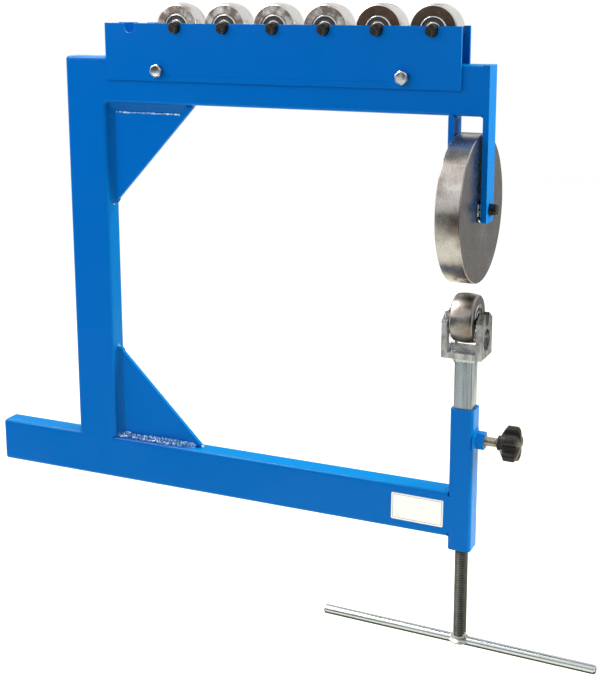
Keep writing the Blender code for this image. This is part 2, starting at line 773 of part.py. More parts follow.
def make_lock(guide, axis):
    start_x = wheel_x + ram_side / 2 + RUNNING_GAP
    end_x = knob_x + STUD_IN_KNOB
    profile = rod_profile(stud_radius, end_x - start_x, SCREW_CHAMFER)
    stud = turned("lock_stud", profile, PIN_STEPS, plated, ALONG["+X"])
    seat(stud, guide, ((start_x + end_x) / 2, 0, lock_z))

    length = KNOB_HUB_LENGTH + KNOB_BACK_SLOPE + KNOB_TIP_LENGTH + KNOB_DOME
    knob = plate("lock_knob", [knob_outline()], length + 2 * OVERRUN, plastic, DRAWN_IN_YZ)
    seat(knob, axis, (knob_x + length / 2, 0, lock_z))
    envelope = turned("knob_envelope", knob_envelope(), ROLLER_STEPS, None, ALONG["+X"])
    envelope.location = (knob_x, 0, lock_z)
    combine(knob, envelope, "INTERSECT")
    depth = STUD_IN_KNOB + SEAT_GAP
    hole = drill(
        "knob_stud_hole",
        stud_radius + SEAT_GAP,
        depth + OVERRUN,
        ALONG["+X"],
        (knob_x + (depth - OVERRUN) / 2, 0, lock_z),
    )
    combine(knob, hole, "DIFFERENCE")


def slot_x(index):
    return rack_left_x + SLOT_MARGIN + index * SLOT_PITCH


def rack_outline():
    """A plate's outline with open axle slots along its top edge."""
    outline = [(rack_left_x, rack_bottom_z), (rack_right_x, rack_bottom_z)]
    outline.append((rack_right_x, rack_top_z))
    centre_z = slot_floor_z + pin_hole_radius
    for index in reversed(range(SLOT_COUNT)):
        centre = (slot_x(index), centre_z)
        outline.append((centre[0] + pin_hole_radius, rack_top_z))
        outline += arc(centre, pin_hole_radius, 0, -math.pi, SLOT_STEPS)
        outline.append((centre[0] - pin_hole_radius, rack_top_z))
    outline.append((rack_left_x, rack_top_z))
    return outline


def rack_plate(name):
    holes = [circle(bolt_hole_radius, PIN_STEPS, (bolt_x, bolt_z)) for bolt_x in bolt_places_x]
    return plate(name, [rack_outline()] + holes, RACK_PLATE, paint, DRAWN_IN_XZ)


def rack_bolt(name):
    """A hex bolt pointing along its own Z, with its origin under the head."""
    grip = 2 * plate_outer_y + 2 * SEAT_GAP
    shank_length = grip + BOLT_NUT_HEIGHT + BOLT_THREAD_SHOWING
    head = plate(name, [hexagon(BOLT_HEAD_FLATS)], BOLT_HEAD_HEIGHT, plated, ALONG["+Y"])
    profile = rod_profile(BOLT_DIAMETER / 2, shank_length + BOLT_HEAD_HEIGHT / 2, SCREW_CHAMFER)
    shank = turned(f"{name}_shank", profile, PIN_STEPS, None, ALONG["+Y"])
    return head, shank, shank_length


def make_rack(base):
    middle_y = (plate_inner_y + plate_outer_y) / 2
    seat(rack_plate("rack_front_plate"), base, (0, -middle_y, 0))
    seat(rack_plate("rack_back_plate"), base, (0, middle_y, 0))
    under_head_y = -plate_outer_y - SEAT_GAP
    for side, bolt_x in zip(("left", "right"), bolt_places_x):
        head, shank, shank_length = rack_bolt(f"rack_bolt_{side}")
        seat(head, base, (bolt_x, under_head_y - BOLT_HEAD_HEIGHT / 2, bolt_z))
        shank_middle_y = under_head_y + shank_length / 2 - BOLT_HEAD_HEIGHT / 4
        shank.location = (bolt_x, shank_middle_y, bolt_z)
        combine(head, shank, "UNION")
        loops = [hexagon(BOLT_HEAD_FLATS), circle(bolt_hole_radius, PIN_STEPS)]
        nut = plate(f"rack_nut_{side}", loops, BOLT_NUT_HEIGHT, plated, ALONG["+Y"])
        seat(nut, base, (bolt_x, plate_outer_y + SEAT_GAP + BOLT_NUT_HEIGHT / 2, bolt_z))


def make_spares(base):
    """Each spare roller with its bearings turns on its own axle, which lifts out of its slots."""
    middle = (roller_width - BEARING_WIDTH) / 2
    for number, crown_radius in enumerate(SPARE_CROWN_RADII, start=1):
        place = (slot_x(number), 0, spare_z)
        axis = carrier(f"spare_station_{number}", place, base)
        finish = scaled if number in SCALED_SPARES else polished
        seat(roller(f"spare_roller_{number}", crown_radius, finish, ALONG["+Y"]), axis, place)
        profile = rod_profile(pin_radius, anvil_pin_length, PIN_CHAMFER)
        axle = turned(f"spare_axle_{number}", profile, PIN_STEPS, blackened, ALONG["+Y"])
        seat(axle, axis, place)
        for side, sign, way in (("front", -1, "-Y"), ("back", 1, "+Y")):
            ball_bearing = bearing(f"spare_bearing_{number}_{side}", ALONG[way])
            seat(ball_bearing, axis, (place[0], sign * middle, place[2]))


def main():
    base = carrier("frame_datum", (0, 0, 0))
    make_frame(base)
    make_gussets(base)
    make_fork(base)
    make_sleeve(base)
    make_rack(base)
    make_spares(base)

    make_upper_wheel(carrier("upper_wheel_axis", (wheel_x, 0, wheel_z), base))

    ram_guide = carrier("ram_guide", (wheel_x, 0, sleeve_top_z), base)
    make_ram(ram_guide)
    make_yoke(ram_guide)
    make_anvil(carrier("anvil_axis", (wheel_x, 0, anvil_z), ram_guide))
    make_lift(carrier("lift_screw_axis", (wheel_x, 0, handle_z), ram_guide))

    stud_guide = carrier("lock_stud_guide", (lock_nut_x, 0, lock_z), base)
    make_lock(stud_guide, carrier("lock_knob_axis", (knob_x, 0, lock_z), stud_guide))


main()
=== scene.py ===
"""Finished look of the bench english wheel.

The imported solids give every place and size. Each operator below builds one piece or one group of
like pieces around them, with rounded edges, threads, weld beads and procedural finishes.
"""

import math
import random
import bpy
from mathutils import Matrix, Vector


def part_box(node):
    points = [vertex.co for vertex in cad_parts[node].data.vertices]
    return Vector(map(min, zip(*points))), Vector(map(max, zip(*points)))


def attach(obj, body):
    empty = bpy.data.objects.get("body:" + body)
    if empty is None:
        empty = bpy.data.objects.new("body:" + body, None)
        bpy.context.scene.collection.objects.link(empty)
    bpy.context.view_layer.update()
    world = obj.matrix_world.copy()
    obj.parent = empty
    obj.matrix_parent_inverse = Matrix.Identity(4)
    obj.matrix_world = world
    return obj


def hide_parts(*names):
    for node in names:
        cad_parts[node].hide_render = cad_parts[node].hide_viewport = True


bl_info = {
    "name": "Bench English Wheel",
    "version": (1, 0, 0),
    "blender": (4, 5, 0),
    "location": "View3D > Sidebar > English Wheel",
    "description": "Builds the finished bench english wheel around its packed solids",
    "category": "Object",
}

import bmesh
import bpy
from mathutils import Matrix, Vector, noise

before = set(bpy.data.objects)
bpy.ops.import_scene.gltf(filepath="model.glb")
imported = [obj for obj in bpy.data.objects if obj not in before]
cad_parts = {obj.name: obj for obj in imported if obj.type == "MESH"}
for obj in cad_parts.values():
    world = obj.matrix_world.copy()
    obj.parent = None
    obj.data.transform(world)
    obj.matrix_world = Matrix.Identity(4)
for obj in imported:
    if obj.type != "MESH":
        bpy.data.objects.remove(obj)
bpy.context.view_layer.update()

MERGE_WITHIN = 1e-6
CLEARANCE = 0.0003
QUARTER = math.pi / 2
FULL_TURN = 2 * math.pi
ALONG_X = Matrix.Rotation(QUARTER, 4, "Y")
ALONG_Y = Matrix.Rotation(-QUARTER, 4, "X")
UPRIGHT_XZ = Matrix.Rotation(QUARTER, 4, "X")
UPRIGHT_YZ = Matrix.Rotation(QUARTER, 4, "Z") @ UPRIGHT_XZ
HALF_TURN = Matrix.Rotation(math.pi, 4, "X")
EAST, WEST, SOUTH, NORTH, UP, DOWN = (1, 0, 0), (-1, 0, 0), (0, -1, 0), (0, 1, 0), (0, 0, 1), (0, 0, -1)
WHITE, WARM, SUNNY = (1, 1, 1), (1, 1, 0.62), (1, 1, 0.44)


class Place:
    """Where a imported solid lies: its corners, its centre and its size."""

    def __init__(self, node):
        self.low, self.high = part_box(node)
        self.centre = (self.low + self.high) / 2
        self.size = self.high - self.low


def places(nodes):
    return [Place(node) for node in nodes.split()]


def length(name, description, default):
    return bpy.props.FloatProperty(
        name=name, description=description, default=default, min=0, unit="LENGTH", precision=5
    )


def watts(name, default):
    return bpy.props.FloatProperty(name=name, description="Power in watts", default=default, min=0)


def colour(name, description, default):
    return bpy.props.FloatVectorProperty(
        name=name, description=description, default=default, size=3, min=0, max=1, subtype="COLOR"
    )


class FrameSettings(bpy.types.PropertyGroup):
    """Sizes of the welded frame."""

    tube_corner: length("Tube corner", "Outer corner radius of the box tube", 0.0040)
    tube_wall: length("Tube wall", "Wall of the box tube", 0.0025)
    mitre_corner: length("Mitre corner", "Rounding over the mitre of post and top beam", 0.0035)
    tail_corner: length("Tail corner", "Rounding of the closed tail end", 0.0035)
    sleeve_corner: length("Sleeve corner", "Rounding of the sleeve's lower end", 0.0018)
    edge: length("Edge", "Painted rounding of plate edges", 0.0009)
    leg_corner: length("Leg corner", "Rounding of the fork legs' lower corners", 0.003)
    gusset_tip: length("Gusset tip", "Blunt end of a gusset's points", 0.003)
    gusset_weld: length("Gusset weld", "Leg length of the welds along the gussets", 0.0090)
    rough_weld: length("Rough weld", "Leg length of the lumpy weld of the lower gusset", 0.0056)
    cross_weld: length("Cross weld", "Leg length of the welds across the tubes", 0.0050)
    nut_weld: length("Nut weld", "Leg length of the weld around the lock nut", 0.0028)
    ripple: length("Weld ripple", "Distance between the ripples of a bead", 0.0024)


class RollingSettings(bpy.types.PropertyGroup):
    """Sizes of the wheel, the anvils, their bearings and their axles."""

    wheel_edge: length("Wheel edge", "Chamfer around the upper wheel", 0.0009)
    anvil_edge: length("Anvil edge", "Rounding around a spare anvil roller", 0.0013)
    worn_edge: length("Edge in the yoke", "Rounding around the anvil in the yoke", 0.0032)
    flat_crown: length("Crown in the yoke", "Crown radius of the anvil in the yoke", 0.050)
    pocket_chamfer: length("Pocket chamfer", "Chamfer at a bearing pocket's mouth", 0.0007)
    seal_radius: length("Seal radius", "Outer radius of a bearing's seal", 0.0126)
    ring_radius: length("Inner ring radius", "Outer radius of a bearing's inner ring", 0.0078)
    seal_depth: length("Seal depth", "How far a seal is set back", 0.0006)
    pin_chamfer: length("Pin chamfer", "Chamfer at the ends of an axle", 0.0009)


class LiftSettings(bpy.types.PropertyGroup):
    """Sizes of the yoke, the ram, the lift screw and the lock."""

    screw_pitch: length("Lift screw pitch", "Rise of the lift screw in a turn", 0.002)
    stud_pitch: length("Lock stud pitch", "Rise of the lock stud in a turn", 0.0015)
    bolt_pitch: length("Rack bolt pitch", "Rise of a rack bolt in a turn", 0.00125)
    yoke_edge: length("Yoke edge", "Rounding of the yoke's edges", 0.0005)
    yoke_wall: length("Yoke wall", "Thickness of the yoke's cheeks and floor", 0.006)
    yoke_run: length("Yoke chamfer run", "Chamfer along the top of a cheek", 0.0115)
    yoke_rise: length("Yoke chamfer rise", "Chamfer down the side of a cheek", 0.0075)
    ram_weld: length("Ram weld", "Leg length of the weld under the yoke", 0.0042)
    foot_weld: length("Foot weld", "Reach of the weld around the rod's foot", 0.0046)
    knob_tip: length("Knob radius", "From the knob's axis to the tips of its lobes", 0.0195)
    knob_waist: length("Knob waist", "From the knob's axis to the valleys", 0.0100)
    knob_lobe: length("Lobe radius", "Radius of a lobe's end", 0.00525)
    knob_blend: length("Knob rounding", "Rounding between the knob's lobes and its faces", 0.0026)


class FinishSettings(bpy.types.PropertyGroup):
    """Colours of the finishes."""

    enamel: colour("Enamel", "Blue paint", (0.0, 0.108, 0.475))
    wheel: colour("Wheel steel", "Ground upper wheel and the anvil in the yoke", (0.50, 0.475, 0.45))
    polished: colour("Polished steel", "Treads of the spare anvils", (0.66, 0.645, 0.62))
    scale: colour("Mill scale", "Dark skin left on two of the anvils", (0.060, 0.036, 0.024))
    machined: colour("Milled steel", "Yoke, washers and lift nut", (0.50, 0.50, 0.515))
    zinc: colour("Zinc plate", "Ram and nuts", (0.34, 0.385, 0.43))
    bright: colour("Bright zinc", "Handle bar and bolts", (0.56, 0.59, 0.60))
    thread: colour("Dark thread", "Rolled thread of the lift screw", (0.155, 0.15, 0.14))
    black_oxide: colour("Black oxide", "Axles", (0.010, 0.009, 0.009))
    rubber: colour("Seal rubber", "Bearing seals", (0.008, 0.007, 0.007))
    plastic: colour("Plastic", "Lock knob", (0.010, 0.0085, 0.009))
    label: colour("Blank label", "Sticker without print", (0.76, 0.755, 0.90))


class StudioSettings(bpy.types.PropertyGroup):
    """Floor, lamps and daylight."""

    floor: length("Floor depth", "How far the floor lies under the object's origin", 0.200)
    reach: length("Floor reach", "Radius of the floor", 4.0)
    key: watts("Key lamp", 10.5)
    strip: watts("Strip lamp", 5.0)
    side: watts("Side lamp", 26.0)
    top: watts("Top lamp", 56.0)
    back: watts("Back lamp", 6.0)
    edge: watts("Edge lamp", 40.0)
    sky: bpy.props.FloatProperty(
        name="Sky", description="Strength of the even light from all round", default=0.36, min=0,
        max=1, subtype="FACTOR",
    )


def settings(group):
    return getattr(bpy.context.scene, f"english_wheel_{group}")


# Outlines


def arc(centre, radius, start, end, steps):
    angles = [start + (end - start) * step / steps for step in range(steps + 1)]
    return [
        (centre[0] + radius * math.cos(angle), centre[1] + radius * math.sin(angle))
        for angle in angles
    ]


def circle(radius, steps=32, centre=(0, 0)):
    return arc(centre, radius, 0, FULL_TURN, steps)[:-1]


def around(steps):
    return [FULL_TURN * step / steps for step in range(steps)]


def rounded_rectangle(width, height, corner, steps=6):
    across, up = width / 2 - corner, height / 2 - corner
    points = []
    for turn, centre in enumerate(((across, up), (-across, up), (-across, -up), (across, -up))):
        points += arc(centre, corner, turn * QUARTER, (turn + 1) * QUARTER, steps)
    return points


def soften(points, closed=True, steps=4):
    """Turns each (across, up, radius) corner into an arc and keeps the (across, up) ones sharp."""
    result = []
    count = len(points)
    for index, point in enumerate(points):
        if len(point) == 2 or (not closed and index in (0, count - 1)):
            result.append(point[:2])
            continue
        corner, radius = Vector(point[:2]), point[2]
        back = (Vector(points[index - 1][:2]) - corner).normalized()
        ahead = (Vector(points[(index + 1) % count][:2]) - corner).normalized()
        half = back.angle(ahead) / 2
        centre = corner + (back + ahead).normalized() * radius / math.sin(half)
        start = corner + back * radius / math.tan(half) - centre
        end = corner + ahead * radius / math.tan(half) - centre
        first = math.atan2(start.y, start.x)
        turn = (math.atan2(end.y, end.x) - first + math.pi) % FULL_TURN - math.pi
        result += arc(centre, radius, first, first + turn, steps)
    return result


def rounding(radius, steps=6):
    """(along, inset) pairs that round an end over, from its face to its side."""
    ways = [QUARTER * step / steps for step in range(steps + 1)]
    return [(radius * (1 - math.cos(way)), radius * (1 - math.sin(way))) for way in ways]


# Meshes


def finished_mesh(shape):
    bmesh.ops.remove_doubles(shape, verts=shape.verts, dist=MERGE_WITHIN)
    bmesh.ops.recalc_face_normals(shape, faces=shape.faces)
    mesh = bpy.data.meshes.new("shape")
    shape.to_mesh(mesh)
    shape.free()
    return mesh


def evaluated_mesh(piece):
    graph = bpy.context.evaluated_depsgraph_get()
    graph.update()
    return bpy.data.meshes.new_from_object(piece.evaluated_get(graph))


def add_skin(shape, rows, loop=False, bands=None):
    """Faces from row to row. Each row is a closed ring; loop joins the last row to the first."""
    rings = [[shape.verts.new(point) for point in row] for row in rows]
    pairs = list(zip(rings, rings[1:]))
    if loop:
        pairs.append((rings[-1], rings[0]))
    for index, (here, there) in enumerate(pairs):
        for step in range(len(here)):
            face = shape.faces.new((here[step - 1], here[step], there[step], there[step - 1]))
            face.material_index = bands[index] if bands else 0
            face.smooth = True
    if not loop:
        for ring, row in ((rings[0], rows[0]), (rings[-1], rows[-1])):
            if (Vector(row[0]) - Vector(row[1])).length > MERGE_WITHIN:
                shape.faces.new(ring)


def skin_mesh(rows, loop=False, bands=None):
    shape = bmesh.new()
    add_skin(shape, rows, loop, bands)
    return finished_mesh(shape)


def ring_rows(rings):
    """Rows of points about their own Z. A ring is a list of radii all the way round and a height."""
    return [
        [
            (radius * math.cos(turn), radius * math.sin(turn), height)
            for radius, turn in zip(radii, around(len(radii)))
        ]
        for radii, height in rings
    ]


def lathe_mesh(profile, steps, closed=False, bands=None):
    """A turned mesh about its own Z from (radius, height) points."""
    rings = [([radius] * steps, height) for radius, height in profile]
    return skin_mesh(ring_rows(rings), closed, bands)


def plate_mesh(loops, thickness):
    """A flat plate about its own plane, with any further loops as holes."""
    curve = bpy.data.curves.new("outline", "CURVE")
    curve.dimensions = "2D"
    curve.fill_mode = "BOTH"
    curve.extrude = thickness / 2
    for loop in loops:
        spline = curve.splines.new("POLY")
        spline.points.add(len(loop) - 1)
        for point, (across, up) in zip(spline.points, loop):
            point.co = (across, up, 0, 1)
        spline.use_cyclic_u = True
    drawn = bpy.data.objects.new("outline", curve)
    bpy.context.scene.collection.objects.link(drawn)
    shape = bmesh.new()
    shape.from_mesh(evaluated_mesh(drawn))
    bpy.data.objects.remove(drawn)
    bpy.data.curves.remove(curve)
    for face in shape.faces:
        face.smooth = True
    return finished_mesh(shape)


def thread_mesh(radius, pitch, reach, steps=20, chamfer=0.001):
    """A screw thread about its own Z: one ridge that climbs a pitch in each turn, with full ends."""
    root = radius - 0.61 * pitch
    ridge = ((0, root), (0.30, radius), (0.52, radius), (0.82, root))
    turns = max(2, round(reach / pitch)) - 1
    height_of_all = (turns + 2) * pitch
    shape = bmesh.new()
    columns = []
    for step in range((turns + 1) * steps + 1):
        angle = FULL_TURN * step / steps
        column = []
        for rise, wide in ridge:
            height = pitch * (step / steps + rise)
            inner = min(height, height_of_all - height)
            here = min(wide, radius - chamfer + max(0, inner - pitch / 2))
            column.append(shape.verts.new((here * math.cos(angle), here * math.sin(angle), height)))
        columns.append(column)
    last = turns * steps
    for step in range(last):
        columns[step].append(columns[step + steps][0])
    for column in columns[last:]:
        top = column[0].co.copy()
        top.z += pitch
        column.append(shape.verts.new(top))
    for here, there in zip(columns, columns[1:]):
        for low in range(len(ridge)):
            shape.faces.new((here[low], there[low], there[low + 1], here[low + 1])).smooth = True
    lower = [column[0] for column in columns[: steps + 1]] + columns[0][3:0:-1]
    upper = [column[-1] for column in columns[last:]] + columns[-1][3:0:-1]
    for loop, height in ((lower, 0), (upper, height_of_all)):
        middle = shape.verts.new((0, 0, height))
        for index in range(len(loop)):
            shape.faces.new((loop[index - 1], loop[index], middle))
    bmesh.ops.scale(shape, vec=(1, 1, reach / height_of_all), verts=shape.verts)
    bmesh.ops.translate(shape, vec=(0, 0, -reach / 2), verts=shape.verts)
    return finished_mesh(shape)


def add_bead(shape, start, end, one_side, other_side, width, seed, wobble=0.03, bulge=-0.19):
    """A rippled fillet weld along a corner, between the two faces that the side vectors follow.

    wobble is how rough it is, and bulge how full: below 0 it is hollow.
    """
    ripple = settings("frame").ripple
    start, one_side, other_side = Vector(start), Vector(one_side), Vector(other_side)
    both = one_side + other_side
    run = Vector(end) - start
    steps = max(8, round(run.length / (ripple / 6)))
    across = 9
    sunk = -both * 0.0004
    rows = []
    for step in range(steps + 1):
        travel = run.length * step / steps
        inner = max(0, min(1, min(travel, run.length - travel) / width))
        fade = math.sqrt(1 - (1 - inner) ** 2) * 0.75 + 0.25
        here = start + run * step / steps
        row = [here + sunk * 2]
        for column in range(across + 1):
            part = column / across
            swell = math.sin(math.pi * part)
            wave = abs(math.sin(math.pi * (travel + 0.45 * width * swell) / ripple)) - 0.6
            rough = noise.noise(Vector((travel * 260, part * 2.1, seed)))
            drift = noise.noise(Vector((travel * 60, 4.2, seed)))
            leg = width * fade * (1 + wobble * (wave * swell + rough + drift))
            out = one_side * leg * (1 - part) + other_side * leg * part
            lift = leg * swell * (bulge + wobble * (0.45 * wave + 0.35 * rough))
            row.append(here + out + both * lift + sunk)
        rows.append(row)
    add_skin(shape, rows)


def add_ground_weld(shape, start, end, out, width, depth, proud=0.00006):
    """A weld ground flush over a butt joint: a low strip that fills the groove behind it."""
    start, out = Vector(start), Vector(out)
    run = Vector(end) - start
    side = run.normalized().cross(out) * width / 2
    rows = []
    for step in range(25):
        here = start + run * (step / 24)
        row = [here - out * depth + side, here - out * depth - side]
        for column in range(9):
            across = column / 4 - 1
            row.append(here + side * across + out * (proud * (1 - across**2) - 0.00004))
        rows.append(row)
    add_skin(shape, rows)


# Pieces


def new_piece(name, mesh, turn=Matrix(), centre=(0, 0, 0)):
    piece = bpy.data.objects.new(name, mesh)
    bpy.context.scene.collection.objects.link(piece)
    piece.matrix_world = Matrix.Translation(centre) @ turn
    return piece


def cut(piece, cutter):
    """Takes the cutter's shape out of the piece, and the cutter away."""
    modifier = piece.modifiers.new("cut", "BOOLEAN")
    modifier.operation = "DIFFERENCE"
    modifier.solver = "EXACT"
    modifier.object = cutter
    bpy.context.view_layer.update()
    mesh = evaluated_mesh(piece)
    piece.modifiers.remove(modifier)
    piece.data = mesh
    bpy.data.objects.remove(cutter)


def coloured(mesh, name, finishes):
    """Names a mesh and gives it its finishes."""
    mesh.name = name
    for part in finishes.split():
        mesh.materials.append(finish(part))
    return mesh


def build(
    name, mesh, finishes, nodes="", body="frame", turn=Matrix(), centre=(0, 0, 0),
    edge=0, segments=3, even=False, cutter=None,
):
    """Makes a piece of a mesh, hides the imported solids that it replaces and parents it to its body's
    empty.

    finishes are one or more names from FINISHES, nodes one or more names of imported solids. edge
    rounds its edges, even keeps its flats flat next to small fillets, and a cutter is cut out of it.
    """
    piece = new_piece(name, mesh, turn, centre)
    if cutter:
        cut(piece, cutter)
    if edge:
        bevel = piece.modifiers.new("rounded_edges", "BEVEL")
        bevel.width = edge
        bevel.segments = segments
        bevel.limit_method = "ANGLE"
        bevel.angle_limit = math.radians(35)
        bevel.harden_normals = True
    if even:
        piece.modifiers.new("even_shading", "WEIGHTED_NORMAL").keep_sharp = True
    if not piece.data.materials:
        coloured(piece.data, name, finishes)
    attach(piece, body)
    if nodes:
        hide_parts(*nodes.split())


# Finishes


class Nodes:
    """A node tree, with short calls for the nodes that the finishes and the studio use."""

    def __init__(self, owner):
        owner.use_nodes = True
        self.tree = owner.node_tree

    def feed(self, target, value):
        """Links an output to an input, or sets the input to a number or a colour."""
        if isinstance(value, bpy.types.NodeSocket):
            self.tree.links.new(value, target)
        else:
            target.default_value = (*value, 1) if target.type == "RGBA" else value

    def node(self, kind, inputs=None, **options):
        made = self.tree.nodes.new(kind)
        for key, value in options.items():
            setattr(made, key, value)
        for key, value in (inputs or {}).items():
            self.feed(made.inputs[key], value)
        return made

    def maths(self, operation, first, second=0.0):
        return self.node("ShaderNodeMath", {0: first, 1: second}, operation=operation).outputs[0]

    def backdrop(self, plain, white, output, weight=1.0):
        """White for the rays that should see the room as white, and the plain shader for light."""
        rays = self.node("ShaderNodeLightPath").outputs
        seen = self.maths("MAXIMUM", rays["Is Camera Ray"], rays["Is Glossy Ray"])
        seen = self.maths("MAXIMUM", seen, rays["Is Transmission Ray"])
        seen = self.maths("MULTIPLY", seen, weight)
        mixed = self.node("ShaderNodeMixShader", {0: seen, 1: plain.outputs[0], 2: white.outputs[0]})
        self.feed(self.tree.nodes[output].inputs["Surface"], mixed.outputs[0])


class Recipe(Nodes):
    """A material's nodes about the object's own place."""

    made = {}

    def __init__(self, name, base, roughness, metallic=0.0):
        self.material = bpy.data.materials.new(name)
        super().__init__(self.material)
        self.material.diffuse_color = (*base, 1)
        self.shader = self.tree.nodes["Principled BSDF"]
        self.put("Base Color", base)
        self.put("Roughness", roughness)
        self.put("Metallic", metallic)
        self.object_place = self.node("ShaderNodeTexCoord").outputs["Object"]

    def put(self, socket, value):
        self.feed(self.shader.inputs[socket], value)

    def now(self, socket):
        """What feeds one of the shader's inputs so far."""
        links = self.shader.inputs[socket].links
        return links[0].from_socket if links else None

    def noise(self, scale, detail, stretch=None, place=None):
        place = place or self.object_place
        if stretch:
            sockets = {0: place, 1: stretch}
            place = self.node("ShaderNodeVectorMath", sockets, operation="MULTIPLY").outputs[0]
        sockets = {"Vector": place, "Scale": scale, "Detail": detail}
        return self.node("ShaderNodeTexNoise", sockets).outputs["Fac"]

    def span(self, value, low, high, to_low=0.0, to_high=1.0):
        sockets = {0: value, 1: low, 2: high, 3: to_low, 4: to_high}
        return self.node("ShaderNodeMapRange", sockets).outputs[0]

    def blend(self, factor, first, second):
        sockets = {0: factor, 6: first, 7: second}
        return self.node("ShaderNodeMix", sockets, data_type="RGBA").outputs[2]

    def joined(self, *parts):
        return self.node("ShaderNodeCombineXYZ", dict(enumerate(parts))).outputs[0]

    def bump(self, height, distance, strength):
        sockets = {"Height": height, "Distance": distance, "Strength": strength}
        if self.now("Normal"):
            sockets["Normal"] = self.now("Normal")
        self.put("Normal", self.node("ShaderNodeBump", sockets).outputs[0])

    def around_axis(self):
        """Object place as (radius, height, turn) about its own Z."""
        parts = self.node("ShaderNodeSeparateXYZ", {0: self.object_place}).outputs
        flat = self.joined(parts[0], parts[1])
        radius = self.node("ShaderNodeVectorMath", {0: flat}, operation="LENGTH").outputs[1]
        return radius, parts[2], self.maths("ARCTAN2", parts[1], parts[0])


def shade(base, factor):
    return tuple(channel * factor for channel in base)


def base_colour(name):
    return tuple(getattr(settings("finish"), name))


def finish(name):
    """A finish by name, made the first time that it is asked for."""
    if name not in Recipe.made:
        maker = FINISHES[name][1]
        Recipe.made[name] = mottled(name, **maker) if isinstance(maker, dict) else maker(name)
    return Recipe.made[name]


def mottled(
    name, base, tones, cloud, rough, grain, metallic=0.0, spread=(0, 1), fine=None, specular=0.5
):
    """Two tones in a cloud, with an uneven gloss and a grain.

    A tone is a factor for the base colour, or a colour. cloud, fine and the first item of grain
    are noises: without fine the gloss follows the cloud, and without its own the grain the gloss.
    """
    base = base_colour(base) if isinstance(base, str) else base
    recipe = Recipe(name, base, rough[0], metallic)
    tone = recipe.noise(*cloud)
    gloss = recipe.noise(*fine) if fine else tone
    low, high = (item if isinstance(item, tuple) else shade(base, item) for item in tones)
    recipe.put("Base Color", recipe.blend(recipe.span(tone, *spread), low, high))
    recipe.put("Roughness", recipe.span(gloss, 0.3, 0.7, *rough))
    recipe.put("Specular IOR Level", specular)
    recipe.bump(recipe.noise(*grain[0]) if grain[0] else gloss, *grain[1:])
    return recipe.material


def blue_enamel(name, tone=1.0):
    """Smooth gloss paint, a little uneven in tone, that hides the steel's grain."""
    base = shade(base_colour("enamel"), tone)
    recipe = Recipe(name, base, 0.26)
    recipe.put("Base Color", recipe.blend(recipe.noise(7, 3), shade(base, 0.94), shade(base, 1.05)))
    recipe.put("Roughness", recipe.span(recipe.noise(30, 5), 0.35, 0.75, 0.17, 0.28))
    recipe.put("Specular IOR Level", 0.06)
    recipe.bump(recipe.noise(520, 2), 0.00005, 0.30)
    recipe.bump(recipe.noise(75, 2), 0.0004, 0.06)
    return recipe.material


def pooled_enamel(name):
    """The same paint at 0.76 of its tone: painted shade in the hollow fillets of the gussets."""
    return blue_enamel(name, 0.76)


def weld_enamel(name):
    """The same paint, wet and glossy over the rough welds, with pale specks painted on as highlights."""
    base = base_colour("enamel")
    recipe = Recipe(name, base, 0.12)
    glint_and_tone_spots = recipe.noise(420, 3)
    paint = recipe.blend(glint_and_tone_spots, shade(base, 0.70), (0.01, 0.17, 0.60))
    # Painted highlights: where the noise is highest, the paint turns pale blue.
    crest = recipe.span(glint_and_tone_spots, 0.52, 0.60, 0.0, 0.85)
    recipe.put("Base Color", recipe.blend(crest, paint, (0.42, 0.68, 0.86)))
    recipe.put("Roughness", recipe.span(glint_and_tone_spots, 0.3, 0.7, 0.06, 0.16))
    recipe.put("Specular IOR Level", 1.0)
    recipe.bump(recipe.noise(700, 3), 0.0002, 0.35)
    return recipe.material


def turned_steel(name, base, low, high, groove=0.35):
    """Steel with the fine rings that a lathe or a grinder leaves about the piece's own Z."""
    recipe = Recipe(name, base, low, 1.0)
    radius, height, turn = recipe.around_axis()
    fine = recipe.noise(1400, 2, place=recipe.joined(radius, height))
    broad = recipe.noise(60, 4, (1, 1, 0.4))
    wide, far = recipe.maths("MULTIPLY", radius, 90.0), recipe.maths("MULTIPLY", turn, 2.2)
    smear = recipe.noise(1.4, 4, place=recipe.joined(wide, height, far))
    recipe.put("Roughness", recipe.span(recipe.maths("ADD", fine, broad), 0.7, 1.3, low, high))
    recipe.put("Base Color", recipe.blend(smear, shade(base, 0.86), shade(base, 1.08)))
    recipe.bump(fine, 0.00005, groove)
    return recipe, radius, height


def ring_steel(name):
    return turned_steel(name, (0.70, 0.70, 0.69), 0.12, 0.22, 0.15)[0].material


def face_cover(recipe, radius, height):
    """1 on the flat faces of a spare anvil inside their bright rim, and 0 on its tread."""
    face = recipe.span(recipe.maths("ABSOLUTE", height), 0.01155, 0.01185)
    return recipe.maths("MULTIPLY", face, recipe.span(radius, 0.0232, 0.0240, 1.0, 0.0))


def polished_steel(name):
    """Ground bright all over, with a brown bloom on the two faces."""
    recipe, radius, height = turned_steel(name, base_colour("polished"), 0.20, 0.36, 0.2)
    bare = recipe.now("Base Color")
    bloom = recipe.maths("MULTIPLY", face_cover(recipe, radius, height), recipe.noise(120, 5))
    stain = recipe.span(bloom, 0.30, 0.58, 0.10, 0.95)
    stain = recipe.maths("MULTIPLY", stain, recipe.span(bloom, 0.01, 0.05))
    recipe.put("Base Color", recipe.blend(stain, bare, (0.16, 0.125, 0.105)))
    return recipe.material


